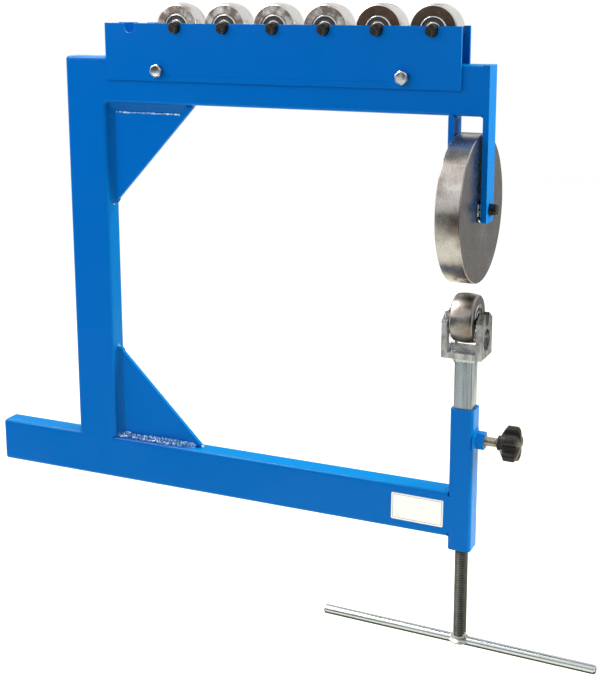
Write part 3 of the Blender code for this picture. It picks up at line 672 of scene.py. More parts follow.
def scaled_steel(name):
    """Polished tread and edges, with brown mill scale left on the two faces."""
    recipe, radius, height = turned_steel(name, base_colour("polished"), 0.18, 0.36)
    cover = face_cover(recipe, radius, height)
    patch = recipe.noise(190, 6)
    dark = shade(base_colour("scale"), 0.45)
    rust = recipe.blend(recipe.span(patch, 0.42, 0.66), dark, (0.090, 0.040, 0.018))
    recipe.put("Base Color", recipe.blend(cover, recipe.now("Base Color"), rust))
    recipe.put("Metallic", recipe.span(cover, 0, 1, 1.0, 0.35))
    flaky = recipe.maths("MULTIPLY", cover, recipe.span(patch, 0.3, 0.7, 0.42, 0.72))
    recipe.put("Roughness", recipe.maths("ADD", recipe.now("Roughness"), flaky))
    recipe.bump(recipe.maths("MULTIPLY", recipe.noise(700, 5), cover), 0.0004, 0.5)
    return recipe.material


def darkened_steel(name, base, tread, grain, low, high):
    """Ground steel that has darkened: grey, with brown clouds on a tread of that radius."""
    recipe, radius, height = turned_steel(name, base, low, high, 0.15)
    worn = recipe.span(radius, tread - 0.0014, tread - 0.0004, 0.35, 1.0)
    cloud = recipe.span(recipe.noise(grain, 4), 0.40, 0.60, 0.0, 0.90)
    brown = recipe.maths("MULTIPLY", cloud, worn)
    stained = recipe.blend(brown, recipe.now("Base Color"), (0.17, 0.130, 0.108))
    pits = recipe.span(recipe.noise(850, 3), 0.50, 0.72, 0.0, 0.45)
    recipe.put("Base Color", recipe.blend(pits, stained, (0.12, 0.11, 0.11)))
    return recipe.material


def wheel_steel(name):
    tread = Place("upper_wheel").size.z / 2
    return darkened_steel(name, base_colour("wheel"), tread, 24, 0.20, 0.36)


def anvil_steel(name):
    """The anvil in the yoke: the wheel's steel at 0.66 of its tone, and brown all over its tread."""
    tread = Place("anvil_roller").size.z / 2 - 0.0006
    return darkened_steel(name, shade(base_colour("wheel"), 0.66), tread, 46, 0.26, 0.40)


def zinc_plate(name):
    """Dull plate over a bar that was drawn, with dark lines along it."""
    base = base_colour("zinc")
    recipe = Recipe(name, base, 0.28, 0.88)
    bloom = recipe.noise(45, 4, (1.0, 1.0, 0.35))
    drawn = recipe.noise(240, 3, (1.0, 1.0, 0.06))
    tone = recipe.blend(bloom, shade(base, 0.66), shade(base, 1.14))
    streak = recipe.span(drawn, 0.50, 0.66, 0.0, 0.60)
    recipe.put("Base Color", recipe.blend(streak, tone, shade(base, 0.35)))
    recipe.put("Roughness", recipe.span(recipe.maths("ADD", bloom, drawn), 0.7, 1.3, 0.18, 0.38))
    recipe.bump(drawn, 0.00005, 0.5)
    return recipe.material


def threaded(name, crest, root, bottom, top, roughness):
    """Thread steel in the crest colour, with painted shade that darkens it to the root colour in its
    roots.
    """
    recipe = Recipe(name, crest, roughness, 0.9)
    radius, height, turn = recipe.around_axis()
    shade_and_gloss_cloud = recipe.noise(150, 4)
    # Painted shade in the roots: 0 at the root radius and 1 at the crest, moved a little by a random
    # cloud.
    root_shade_mix = recipe.maths("ADD", recipe.span(radius, bottom, top), recipe.span(shade_and_gloss_cloud, 0.3, 0.7, -0.2, 0.2))
    recipe.put("Base Color", recipe.blend(recipe.span(root_shade_mix, 0, 1), root, crest))
    recipe.put("Roughness", recipe.span(shade_and_gloss_cloud, 0.3, 0.7, roughness - 0.06, roughness + 0.14))
    recipe.bump(recipe.noise(1300, 2), 0.00006, 0.4)
    return recipe.material


def stud_steel(name):
    return threaded(name, (0.62, 0.55, 0.47), (0.20, 0.13, 0.08), 0.0041, 0.0050, 0.28)


def dark_thread(name):
    crest = base_colour("thread")
    return threaded(name, crest, shade(crest, 0.16), 0.0058, 0.0070, 0.34)


# Each finish has the material slot of its pieces, and its maker or what mottled needs.
FINISHES = {
    "blue_enamel": ("blue_paint", blue_enamel),
    "pooled_enamel": ("blue_paint", pooled_enamel),
    "weld_enamel": ("blue_paint", weld_enamel),
    "polished_steel": ("polished_steel", polished_steel),
    "wheel_steel": ("polished_steel", wheel_steel),
    "anvil_steel": ("polished_steel", anvil_steel),
    "scaled_steel": ("scaled_steel", scaled_steel),
    "zinc_plate": ("plated_steel", zinc_plate),
    "stud_steel": ("plated_steel", stud_steel),
    "dark_thread": ("threaded_steel", dark_thread),
    "ring_steel": ("bearing_steel", ring_steel),
    "milled_steel": ("machined_steel", dict(
        base="machined", metallic=0.95, tones=(0.36, 1.10), cloud=(150, 6, (1.0, 0.5, 1.0)),
        spread=(0.30, 0.66), fine=(260, 3, (1.0, 0.16, 4.0)), rough=(0.20, 0.42),
        grain=(None, 0.00006, 0.6),
    )),
    "bright_zinc": ("plated_steel", dict(
        base="bright", metallic=1.0, tones=(0.93, 1.04), cloud=(40, 3),
        fine=(900, 2, (1.0, 1.0, 0.02)), rough=(0.16, 0.28), grain=(None, 0.00002, 0.4),
    )),
    "black_oxide": ("blackened_steel", dict(
        base="black_oxide", metallic=0.55, tones=(1.0, (0.085, 0.072, 0.060)), cloud=(330, 5),
        spread=(0.55, 0.8), rough=(0.24, 0.44), grain=((1200, 2), 0.00005, 0.5),
    )),
    "seal_rubber": ("bearing_steel", dict(
        base="rubber", tones=(1.0, 2.4), cloud=(260, 4), rough=(0.34, 0.52),
        grain=((900, 2), 0.00005, 0.4),
    )),
    "moulded_plastic": ("black_plastic", dict(
        base="plastic", tones=(1.0, 1.9), cloud=(45, 5), rough=(0.28, 0.44),
        grain=((1500, 2), 0.00006, 0.45), specular=0.24,
    )),
    "raw_weld": ("plated_steel", dict(
        base=(0.50, 0.50, 0.48), metallic=1.0, tones=((0.36, 0.35, 0.33), (0.60, 0.61, 0.60)),
        cloud=(150, 4), rough=(0.24, 0.46), grain=((800, 3), 0.0002, 0.5),
    )),
    "burnt_spatter": ("blue_paint", dict(
        base=(0.06, 0.035, 0.018), metallic=0.6, tones=((0.035, 0.022, 0.014), (0.13, 0.075, 0.03)),
        cloud=(900, 3), rough=(0.55, 0.55), grain=((1400, 3), 0.0003, 0.6),
    )),
    "blank_vinyl": ("blue_paint", dict(
        base="label", tones=(0.95, 1.03), cloud=(60, 4), rough=(0.24, 0.40),
        grain=((400, 3), 0.00006, 0.4),
    )),
    "border_ink": ("blue_paint", dict(
        base=(0.10, 0.11, 0.12), tones=((0.075, 0.082, 0.09), (0.14, 0.15, 0.16)), cloud=(300, 3),
        rough=(0.28, 0.42), grain=(None, 0.00004, 0.3),
    )),
}


# Operators


# The spare anvils from left to right: their crown radii, and those that kept their mill scale.
CROWNS = (0.038, 0.051, 0.064, 0.076, 0.152, 0.305)
SPARES = range(1, len(CROWNS) + 1)
SCALED_SPARES = (5, 6)


class Undoable:
    """An operator whose work can be undone."""

    bl_options = {"REGISTER", "UNDO"}


def tube_ring(place, direction, width, depth, corner, inset=0.0):
    """A ring of a box tube at a place. direction is the way that the tube's width follows there."""
    loop = rounded_rectangle(width - 2 * inset, depth - 2 * inset, max(corner - inset, 0.0006))
    place, direction = Vector(place), Vector(direction)
    return [place + direction * across + Vector((0, up, 0)) for across, up in loop]


def tube_rows(stations, width, depth):
    """Rings of a box tube, down the outer skin and back up the bore.

    A station is a place, a direction and, where the outer skin is rounded in, an inset.
    """
    wall, corner = settings("frame").tube_wall, settings("frame").tube_corner
    bore = (width - 2 * wall, depth - 2 * wall, corner - wall + 0.0004)
    rows = [
        tube_ring(place, direction, width, depth, corner, *inset)
        for place, direction, *inset in stations
    ]
    return rows + [tube_ring(*station[:2], *bore) for station in stations[::-1]]


class ENGLISHWHEEL_OT_frame_tubes(Undoable, bpy.types.Operator):
    """Builds the post and top beam as one mitred run of tube, and the lower beam."""

    bl_idname = "english_wheel.frame_tubes"
    bl_label = "Frame tubes"

    def execute(self, context):
        sizes = settings("frame")
        post, beam, lower = places("post top_beam lower_beam")
        tube, depth, corner, wall = beam.size.z, beam.size.y, sizes.tube_corner, sizes.tube_wall
        stations = [((post.centre.x, 0, post.low.z), WEST)]
        for along, inset in rounding(sizes.mitre_corner):
            stations.append(((post.centre.x + along, 0, beam.centre.z - inset), (-1, 0, 1)))
        stations.append(((beam.high.x, 0, beam.centre.z), UP))
        mesh = skin_mesh(tube_rows(stations, tube, depth), loop=True)
        build(
            "post_and_beam_tube", mesh, "blue_enamel", "post top_beam", edge=0.0004, segments=2,
            even=True,
        )
        rings = [
            (lower.low.x + along, tube, depth, corner, inset)
            for along, inset in rounding(sizes.tail_corner)
        ]
        rings.append((lower.high.x, tube, depth, corner))
        for x in (lower.high.x, lower.low.x + wall):
            rings.append((x, tube - 2 * wall, depth - 2 * wall, wall))
        rows = [tube_ring((x, 0, lower.centre.z), UP, *size) for x, *size in rings]
        build("lower_beam_tube", skin_mesh(rows), "blue_enamel", "lower_beam", even=True)
        return {"FINISHED"}


class ENGLISHWHEEL_OT_gussets(Undoable, bpy.types.Operator):
    """Builds the two triangular plates in the corners of the throat."""

    bl_idname = "english_wheel.gussets"
    bl_label = "Gusset plates"

    def execute(self, context):
        sizes = settings("frame")
        tip = sizes.gusset_tip
        for node, up in (("lower_gusset", 1), ("upper_gusset", -1)):
            place = Place(node)
            near, far = place.low.x, place.high.x
            base, top = (place.low.z, place.high.z)[::up]
            outline = [(near, base), (far, base), (far, base + up * tip), (near + tip, top), (near, top)]
            mesh = plate_mesh([outline], place.size.y)
            build(f"{node}_plate", mesh, "blue_enamel", node, turn=UPRIGHT_XZ, edge=sizes.edge, even=True)
        return {"FINISHED"}


class ENGLISHWHEEL_OT_fork(Undoable, bpy.types.Operator):
    """Builds the two flat legs that carry the upper wheel."""

    bl_idname = "english_wheel.fork"
    bl_label = "Fork legs"

    def execute(self, context):
        sizes, axle = settings("frame"), Place("wheel_axle")
        corner = sizes.leg_corner
        for node in ("inner_fork_leg", "outer_fork_leg"):
            place = Place(node)
            half = place.size.y / 2
            bottom, top = place.low.z - axle.centre.z, place.high.z - axle.centre.z
            leg = [(half, top), (-half, top), (-half, bottom, corner), (half, bottom, corner)]
            hole = circle(axle.size.y / 2 + CLEARANCE, 40)
            build(
                f"{node}_bar", plate_mesh([soften(leg), hole], place.size.x), "blue_enamel", node,
                turn=UPRIGHT_YZ, centre=(place.centre.x, 0, axle.centre.z), edge=sizes.edge, even=True,
            )
        return {"FINISHED"}


def mirrored(points):
    """Points of an outline on the other side of its middle, in the opposite order."""
    return [(across, -up, *radius) for across, up, *radius in reversed(points)]


def rod_profile(radius, reach, chamfer):
    """Half outline of a rod about its own Z, with softened chamfers."""
    half, soft = reach / 2, chamfer / 3
    upper = [(0, half), (radius - chamfer, half, soft), (radius, half - chamfer, soft)]
    return soften(upper + mirrored(upper), closed=False)


def axle_piece(name, node, body, turn, axis):
    """A black axle pin in place of its solid. axis is the index of the coordinate along it."""
    place = Place(node)
    reach = place.size[axis]
    mesh = bpy.data.meshes.get(f"axle_{reach:.4f}")
    if not mesh:
        profile = rod_profile(place.size.z / 2, reach, settings("rolling").pin_chamfer)
        mesh = coloured(lathe_mesh(profile, 32), f"axle_{reach:.4f}", "black_oxide")
    build(name, mesh, "black_oxide", node, body, turn, place.centre, even=True)


def bearing_mesh():
    """A sealed bearing with its seal towards its own +Z: bright rings and a black seal."""
    sizes, place = settings("rolling"), Place("wheel_bearing_right")
    outer, half = place.size.z / 2, place.size.x / 2
    bore = Place("wheel_axle").size.z / 2 + CLEARANCE
    seal, ring, sunk, lip = sizes.seal_radius, sizes.ring_radius, half - sizes.seal_depth, 0.0004
    profile = soften(
        [
            (outer, half - 0.0006, 0.0002), (outer - 0.0006, half, 0.0002),
            (seal, half, 0.0001), (seal, sunk),
            (seal - lip, sunk + lip / 2, 0.0001), (seal - 3 * lip, sunk, 0.0003),
            (ring + 2 * lip, sunk, 0.0003), (ring + lip, sunk + lip / 2, 0.0001),
            (ring, sunk), (ring, half, 0.0001),
            (bore + 0.0004, half, 0.0001), (bore, half - 0.0004, 0.0001),
            (bore, -half), (outer, -half),
        ]
    )
    black = [ring <= radius <= seal and height < half - lip / 2 for radius, height in profile]
    bands = [int(here and after) for here, after in zip(black, black[1:] + black[:1])]
    return lathe_mesh(profile, 48, closed=True, bands=bands)


def bearing_piece(node, body, turn):
    mesh = bpy.data.meshes.get("sealed_bearing")
    mesh = mesh or coloured(bearing_mesh(), "sealed_bearing", "ring_steel seal_rubber")
    build(f"sealed_{node}", mesh, "ring_steel", node, body, turn, Place(node).centre, even=True)


def bored_profile(tread, width):
    """Closed profile of a wheel: the tread, then the bearing pockets and the bore."""
    bearing, chamfer = Place("wheel_bearing_right"), settings("rolling").pocket_chamfer
    pocket, face, land = bearing.size.z / 2 + CLEARANCE, width / 2, 0.003
    step = face - bearing.size.x - CLEARANCE
    half = [(pocket + chamfer, -face, 0.0001), (pocket, -face + chamfer, 0.0001)]
    half += [(pocket, -step), (pocket - land, -step)]
    return soften(tread + half + mirrored(half))


class ENGLISHWHEEL_OT_upper_wheel(Undoable, bpy.types.Operator):
    """Builds the flat upper wheel with its bearings, washers and axle."""

    bl_idname = "english_wheel.upper_wheel"
    bl_label = "Upper wheel"

    def execute(self, context):
        place, edge = Place("upper_wheel"), settings("rolling").wheel_edge
        radius, face = place.size.z / 2, place.size.x / 2
        rim = [(radius - edge, face, 0.0003), (radius, face - edge, 0.0003)]
        mesh = lathe_mesh(bored_profile(rim + mirrored(rim), place.size.x), 192, closed=True)
        build("flat_wheel", mesh, "wheel_steel", "upper_wheel", "wheel", ALONG_X, place.centre, even=True)
        bearing_piece("wheel_bearing_right", "wheel", ALONG_X)
        bearing_piece("wheel_bearing_left", "wheel", ALONG_X @ HALF_TURN)
        axle_piece("wheel_pin", "wheel_axle", "frame", ALONG_X, 0)
        bore = Place("wheel_axle").size.z / 2 + CLEARANCE
        for side in ("left", "right"):
            node = f"wheel_spacer_{side}"
            washer = Place(node)
            outer, half = washer.size.z / 2, washer.size.x / 2
            ring = soften([(outer, half, 0.0002), (outer, -half, 0.0002), (bore, -half), (bore, half)])
            build(
                f"wheel_washer_{side}", lathe_mesh(ring, 48, closed=True), "milled_steel", node,
                turn=ALONG_X, centre=washer.centre, even=True,
            )
        return {"FINISHED"}


def roller_mesh(node, crown, edge):
    """A crowned anvil roller about its own Z, with round shoulders."""
    place = Place(node)
    radius, face = place.size.z / 2, min(place.size) / 2
    half, sunk = face - edge, crown - radius
    rises = [half * (1 - step / 8) for step in range(17)]
    tread = [(math.sqrt(crown**2 - rise**2) - sunk, rise) for rise in rises]
    shoulder = tread[0][0] - edge
    ways = [QUARTER * step / 6 for step in range(6)]
    corner = [(shoulder + edge * math.sin(way), half + edge * math.cos(way)) for way in ways]
    return lathe_mesh(bored_profile(corner + tread + mirrored(corner), 2 * face), 96, closed=True)


class ENGLISHWHEEL_OT_anvil(Undoable, bpy.types.Operator):
    """Builds the anvil roller in the yoke with its bearings and axle."""

    bl_idname = "english_wheel.anvil"
    bl_label = "Anvil in the yoke"

    def execute(self, context):
        sizes, node = settings("rolling"), "anvil_roller"
        mesh = roller_mesh(node, sizes.flat_crown, sizes.worn_edge)
        build("anvil_tread", mesh, "anvil_steel", node, "anvil", ALONG_X, Place(node).centre, even=True)
        bearing_piece("anvil_bearing_right", "anvil", ALONG_X)
        bearing_piece("anvil_bearing_left", "anvil", ALONG_X @ HALF_TURN)
        axle_piece("anvil_pin", "anvil_axle", "ram", ALONG_X, 0)
        return {"FINISHED"}


class ENGLISHWHEEL_OT_spares(Undoable, bpy.types.Operator):
    """Builds the six spare anvils in the rack with their bearings and axles."""

    bl_idname = "english_wheel.spares"
    bl_label = "Spare anvils"

    def execute(self, context):
        for number, crown in zip(SPARES, CROWNS):
            node, body, pin = f"spare_roller_{number}", f"spare_{number}", f"spare_pin_{number}"
            steel = "scaled_steel" if number in SCALED_SPARES else "polished_steel"
            mesh = roller_mesh(node, crown, settings("rolling").anvil_edge)
            turn = ALONG_Y @ Matrix.Rotation(QUARTER * number, 4, "Z")
            centre = Place(node).centre
            build(f"spare_tread_{number}", mesh, steel, node, body, turn, centre, even=True)
            bearing_piece(f"spare_bearing_{number}_back", body, ALONG_Y)
            bearing_piece(f"spare_bearing_{number}_front", body, ALONG_Y @ HALF_TURN)
            axle_piece(pin, f"spare_axle_{number}", pin, ALONG_Y, 1)
        return {"FINISHED"}


class ENGLISHWHEEL_OT_sleeve(Undoable, bpy.types.Operator):
    """Builds the square sleeve, the nut welded on its right and the lift nut inside it."""

    bl_idname = "english_wheel.sleeve"
    bl_label = "Ram sleeve"

    def execute(self, context):
        place, stud, nut, block = places("ram_sleeve lock_stud lock_nut lift_nut")
        stud_hole, screw_hole = 0.0053, 0.0063
        stations = [
            ((place.centre.x, 0, place.low.z + along), EAST, inset)
            for along, inset in rounding(settings("frame").sleeve_corner)
        ]
        stations.append(((place.centre.x, 0, place.high.z), EAST))
        rows = tube_rows(stations, place.size.x, place.size.y)
        tip = [(0, 0.006), (stud_hole, 0.006)]
        drill = lathe_mesh(tip + mirrored(tip), 40)
        build(
            "sleeve_tube", skin_mesh(rows, loop=True), "blue_enamel", "ram_sleeve", edge=0.0005,
            segments=2, even=True,
            cutter=new_piece("drill", drill, ALONG_X, (place.high.x, 0, stud.centre.z)),
        )
        loops = [circle(nut.size.z / math.sqrt(3), 6), circle(stud_hole, 32)]
        build(
            "lock_nut_hex", plate_mesh(loops, nut.size.x), "blue_enamel", "lock_nut",
            turn=UPRIGHT_YZ, centre=nut.centre, edge=0.0007,
        )
        loops = [rounded_rectangle(block.size.x, block.size.y, 0.0015), circle(screw_hole, 40)]
        build(
            "lift_nut_block", plate_mesh(loops, block.size.z), "milled_steel", "lift_nut",
            centre=block.centre, edge=0.0004, segments=2,
        )
        return {"FINISHED"}


class ENGLISHWHEEL_OT_ram_and_yoke(Undoable, bpy.types.Operator):
    """Builds the square ram with its weld, and the milled yoke that holds the anvil."""

    bl_idname = "english_wheel.ram_and_yoke"
    bl_label = "Ram and yoke"

    def execute(self, context):
        sizes = settings("lift")
        sleeve, ram, yoke, pin = places("ram_sleeve ram anvil_yoke anvil_axle")
        play, rounded = 0.0008, 0.0012
        side = sleeve.size.x - 2 * settings("frame").tube_wall - play
        mesh = plate_mesh([rounded_rectangle(side, side, rounded)], ram.size.z)
        build("ram_bar", mesh, "zinc_plate", "ram", "ram", centre=ram.centre, edge=0.0005, segments=2)

        shape, half = bmesh.new(), side / 2
        corners = [(-half, -half), (half, -half), (half, half), (-half, half)]
        for index, corner in enumerate(corners):
            start, end = Vector(corners[index - 1]), Vector(corner)
            run = (end - start).normalized()
            pull = run * sizes.ram_weld * 0.6
            first = (ram.centre.x + start.x - pull.x, start.y - pull.y, yoke.low.z)
            last = (ram.centre.x + end.x + pull.x, end.y + pull.y, yoke.low.z)
            out, low = (run.y, -run.x, 0), (0, 0, -1.9)
            add_bead(shape, first, last, out, low, sizes.ram_weld, 3.1 + index, 0.10, -0.16)
        build("ram_weld_bead", finished_mesh(shape), "raw_weld", body="ram")

        slot, half = pin.size.z / 2 + CLEARANCE, yoke.size.y / 2
        bottom, top = yoke.low.z - pin.centre.z, yoke.high.z - pin.centre.z
        run, rise, floor = sizes.yoke_run, sizes.yoke_rise, bottom + sizes.yoke_wall
        outline = [(-half, bottom), (half, bottom), (half, top - rise), (half - run, top), (slot, top)]
        outline += arc((0, 0), slot, 0, -math.pi, 20)
        outline += [(-slot, top), (-half + run, top), (-half, top - rise)]
        over_floor, under_slot = 0.0007, 0.0035
        low, high = floor + over_floor, -slot - under_slot
        window = circle((high - low) / 2, 40, (0, (high + low) / 2))
        beyond = 0.010
        height = top - floor + beyond
        hollow = bmesh.new()
        bmesh.ops.create_cube(hollow, size=1)
        size = (yoke.size.x - 2 * sizes.yoke_wall, yoke.size.y + beyond, height)
        bmesh.ops.scale(hollow, vec=size, verts=hollow.verts)
        centre = (pin.centre.x, 0, pin.centre.z + floor + height / 2)
        build(
            "yoke_block", plate_mesh([outline, window], yoke.size.x), "milled_steel", "anvil_yoke",
            "ram", UPRIGHT_YZ, pin.centre, edge=sizes.yoke_edge, segments=2, even=True,
            cutter=new_piece("hollow", finished_mesh(hollow), centre=centre),
        )
        return {"FINISHED"}


class ENGLISHWHEEL_OT_lift_screw(Undoable, bpy.types.Operator):
    """Builds the lift screw and the cross handle welded to its foot."""

    bl_idname = "english_wheel.lift_screw"
    bl_label = "Lift screw and handle"

    def execute(self, context):
        sizes, screw, handle = settings("lift"), Place("lift_screw"), Place("lift_handle")
        radius, bar, middle = screw.size.x / 2, handle.size.z / 2, screw.centre.x
        foot = handle.centre.z + bar * 0.35
        reach = screw.high.z - foot
        mesh = thread_mesh(radius, sizes.screw_pitch, reach)
        centre = (middle, 0, foot + reach / 2)
        build("lift_thread", mesh, "dark_thread", "lift_screw", "screw", centre=centre)

        # The bar's turn and length are those with which its round ends fill the solid's box.
        angle = 0.0
        for step in range(12):
            across = handle.size.x - 2 * bar * math.sin(angle)
            deep = handle.size.y - 2 * bar * math.cos(angle)
            angle = math.atan2(deep, across)
        mesh = lathe_mesh(rod_profile(bar, math.hypot(across, deep), chamfer=0.0016), 48)
        turn = Matrix.Rotation(-angle, 4, "Z") @ ALONG_X
        build("cross_bar", mesh, "bright_zinc", "lift_handle", "screw", turn, handle.centre, even=True)

        rows = []
        for way in around(72):
            outward = Vector((math.cos(way), math.sin(way), 0))
            lump = noise.noise(Vector((math.cos(way) * 2.2, math.sin(way) * 2.2, 7.7)))
            ripple = 0.05 * abs(math.sin(way * 7)) + 0.10 * lump
            wide, high = sizes.foot_weld * (0.92 + ripple), sizes.foot_weld * (1.25 + 1.6 * ripple)
            row = []
            for part in range(9):
                turn = QUARTER * part / 8
                out = radius + wide * (1 - math.cos(turn)) - 0.0003
                side = min(abs(out * math.sin(way + angle)), bar * 0.985)
                seat = handle.centre.z + math.sqrt(bar**2 - side**2) - 0.0005
                lift = max(high * (1 - math.sin(turn)), 0)
                row.append(Vector((middle, 0, seat + lift)) + outward * out)
            edge = row[-1] - Vector((0, 0, 0.0012))
            rows.append([edge - outward * wide, *row, edge])
        build("cross_bar_weld", skin_mesh(rows, loop=True), "raw_weld", body="screw")
        return {"FINISHED"}


def soft_least(first, second, blend):
    """The lesser of two radii, with a rounded change from one to the other."""
    part = max(blend - abs(first - second), 0) / blend
    return min(first, second) - part * part * blend / 4


def knob_rows(reach):
    """Rings of the lobed knob from its hub to the middle of its domed front."""
    sizes = settings("lift")
    blend, tip, waist, lobe = sizes.knob_blend, sizes.knob_tip, sizes.knob_waist, sizes.knob_lobe
    hub, hub_length, slope, front, trim = 0.0078, 0.0035, 0.0055, 0.0052, 0.0004
    lobes, turn = 5, math.radians(3)
    far, spare, half_turn = tip - lobe, lobe - waist, math.pi / lobes
    hollow_far = (far**2 - spare**2) / (2 * (far * math.cos(half_turn) + spare))
    hollow = hollow_far - waist
    lean = math.atan2(hollow_far * math.sin(half_turn), hollow_far * math.cos(half_turn) - far)
    limit = math.atan2(lobe * math.sin(lean), far + lobe * math.cos(lean))

    def outline(way):
        away = abs((way - turn + half_turn) % (2 * half_turn) - half_turn)
        if away < limit:
            return far * math.cos(away) + math.sqrt(lobe**2 - (far * math.sin(away)) ** 2)
        away = half_turn - away
        return hollow_far * math.cos(away) - math.sqrt(hollow**2 - (hollow_far * math.sin(away)) ** 2)

    def envelope(depth):
        if depth < hub_length:
            return hub
        if depth < hub_length + slope:
            return waist + (tip - waist) * (depth - hub_length) / slope
        return tip + 0.001

    depths = [0, trim, hub_length - 0.0002, hub_length]
    depths += [hub_length + slope * step / 10 for step in range(1, 11)]
    side = reach - front - hub_length - slope
    depths += [hub_length + slope + side * step / 6 for step in range(1, 7)]
    ways = around(160)
    rings = [([0] * len(ways), 0)]
    for depth in depths:
        inset = 0 if depth else trim
        ring = [soft_least(outline(way), envelope(depth), blend) - inset for way in ways]
        rings.append((ring, depth))
    for step in range(1, 17):
        angle = QUARTER * step / 16
        inset = max(math.cos(angle), 0) ** 0.75
        rings.append(([radius * inset for radius in ring], reach - front + front * math.sin(angle)))
    return ring_rows(rings)


class ENGLISHWHEEL_OT_lock(Undoable, bpy.types.Operator):
    """Builds the threaded lock stud and its lobed knob."""

    bl_idname = "english_wheel.lock"
    bl_label = "Lock stud and knob"

    def execute(self, context):
        stud, knob = Place("lock_stud"), Place("lock_knob")
        mesh = thread_mesh(stud.size.z / 2, settings("lift").stud_pitch, stud.size.x)
        build("lock_thread", mesh, "stud_steel", "lock_stud", "stud", ALONG_X, stud.centre)
        build(
            "lobed_knob", skin_mesh(knob_rows(knob.size.x)), "moulded_plastic", "lock_knob", "knob",
            UPRIGHT_XZ @ ALONG_X, (knob.low.x, 0, stud.centre.z),
        )
        return {"FINISHED"}


class ENGLISHWHEEL_OT_rack(Undoable, bpy.types.Operator):
    """Builds the two slotted rack plates."""

    bl_idname = "english_wheel.rack"
    bl_label = "Rack plates"

    def execute(self, context):
        pins = [Place(f"spare_axle_{number}") for number in SPARES]
        slot = pins[0].size.z / 2 + CLEARANCE
        pitch = (pins[-1].centre.x - pins[0].centre.x) / (len(pins) - 1)
        slots = [pins[0].centre.x - pitch] + [pin.centre.x for pin in pins]
        slot_z = pins[0].low.z - CLEARANCE + slot
        bolts, bolt_hole = places("rack_bolt_left rack_bolt_right"), 0.0043
        holes = [circle(bolt_hole, 32, (bolt.centre.x, bolt.centre.z)) for bolt in bolts]
        for side in ("front", "back"):
            place = Place(f"rack_{side}_plate")
            low, high = place.low, place.high
            outline = [(low.x, low.z), (high.x, low.z), (high.x, high.z)]
            for centre in reversed(slots):
                outline.append((centre + slot, high.z))
                outline += arc((centre, slot_z), slot, 0, -math.pi, 20)
                outline.append((centre - slot, high.z))
            outline.append((low.x, high.z))
            build(
                f"rack_plate_{side}", plate_mesh([outline] + holes, place.size.y), "blue_enamel",
                f"rack_{side}_plate", turn=UPRIGHT_XZ, centre=(0, place.centre.y, 0),
                edge=settings("frame").edge * 0.7, even=True,
            )
        return {"FINISHED"}


def hex_rows(flats, thickness, bore=None):
    """Rings of a hexagon about its own Z whose corners are turned down at both faces.

    Without a bore it is closed, with the low ring that a head is marked by at its lower face.
    """
    sector, half = math.pi / 3, thickness / 2
    ways = [(way + sector / 2) % sector - sector / 2 for way in around(72)]
    rings = []
    for level in (0, 0.08, 0.18, 0.82, 0.92, 1):
        turned_down = flats / 2 * (0.95 + 1.15 * min(level, 1 - level))
        ring = [min(flats / 2 / math.cos(way), turned_down) for way in ways]
        rings.append((ring, thickness * (level - 0.5)))
    if bore:
        inner = [(bore, half), (bore, -half)]
    else:
        rings.reverse()
        rim, sunk = flats * 0.40, -half + 0.0003
        inner = [(rim, -half), (rim - 0.0005, sunk), (0, sunk)]
    return ring_rows(rings + [([radius] * len(ways), depth) for radius, depth in inner])


class ENGLISHWHEEL_OT_rack_bolts(Undoable, bpy.types.Operator):
    """Builds the two hex bolts through the rack and the top beam, with their nuts."""

    bl_idname = "english_wheel.rack_bolts"
    bl_label = "Rack bolts"

    def execute(self, context):
        flats, shank_radius, nut_bore = 0.013, 0.004, 0.0041
        pitch, plate = settings("lift").bolt_pitch, Place("rack_front_plate").low.y
        for side, spin in (("left", 0.35), ("right", 0.9)):
            bolt, nut = Place(f"rack_bolt_{side}"), Place(f"rack_nut_{side}")
            head = plate - CLEARANCE - bolt.low.y
            reach = bolt.high.y - bolt.low.y - head / 2
            shank = thread_mesh(shank_radius, pitch, reach, steps=24, chamfer=0.0006)
            shank.transform(Matrix.Translation((0, 0, reach / 2)))
            shape = bmesh.new()
            for part in (skin_mesh(hex_rows(flats, head)), shank):
                shape.from_mesh(part)
                bpy.data.meshes.remove(part)
            turn = Matrix.Rotation(spin, 4, "Y") @ ALONG_Y
            centre = (bolt.centre.x, bolt.low.y + head / 2, bolt.centre.z)
            build(
                f"rack_screw_{side}", finished_mesh(shape), "bright_zinc", f"rack_bolt_{side}",
                turn=turn, centre=centre, even=True,
            )
            mesh = skin_mesh(hex_rows(flats, nut.size.y, nut_bore), loop=True)
            build(
                f"rack_hex_nut_{side}", mesh, "zinc_plate", f"rack_nut_{side}",
                turn=turn, centre=nut.centre, even=True,
            )
        return {"FINISHED"}


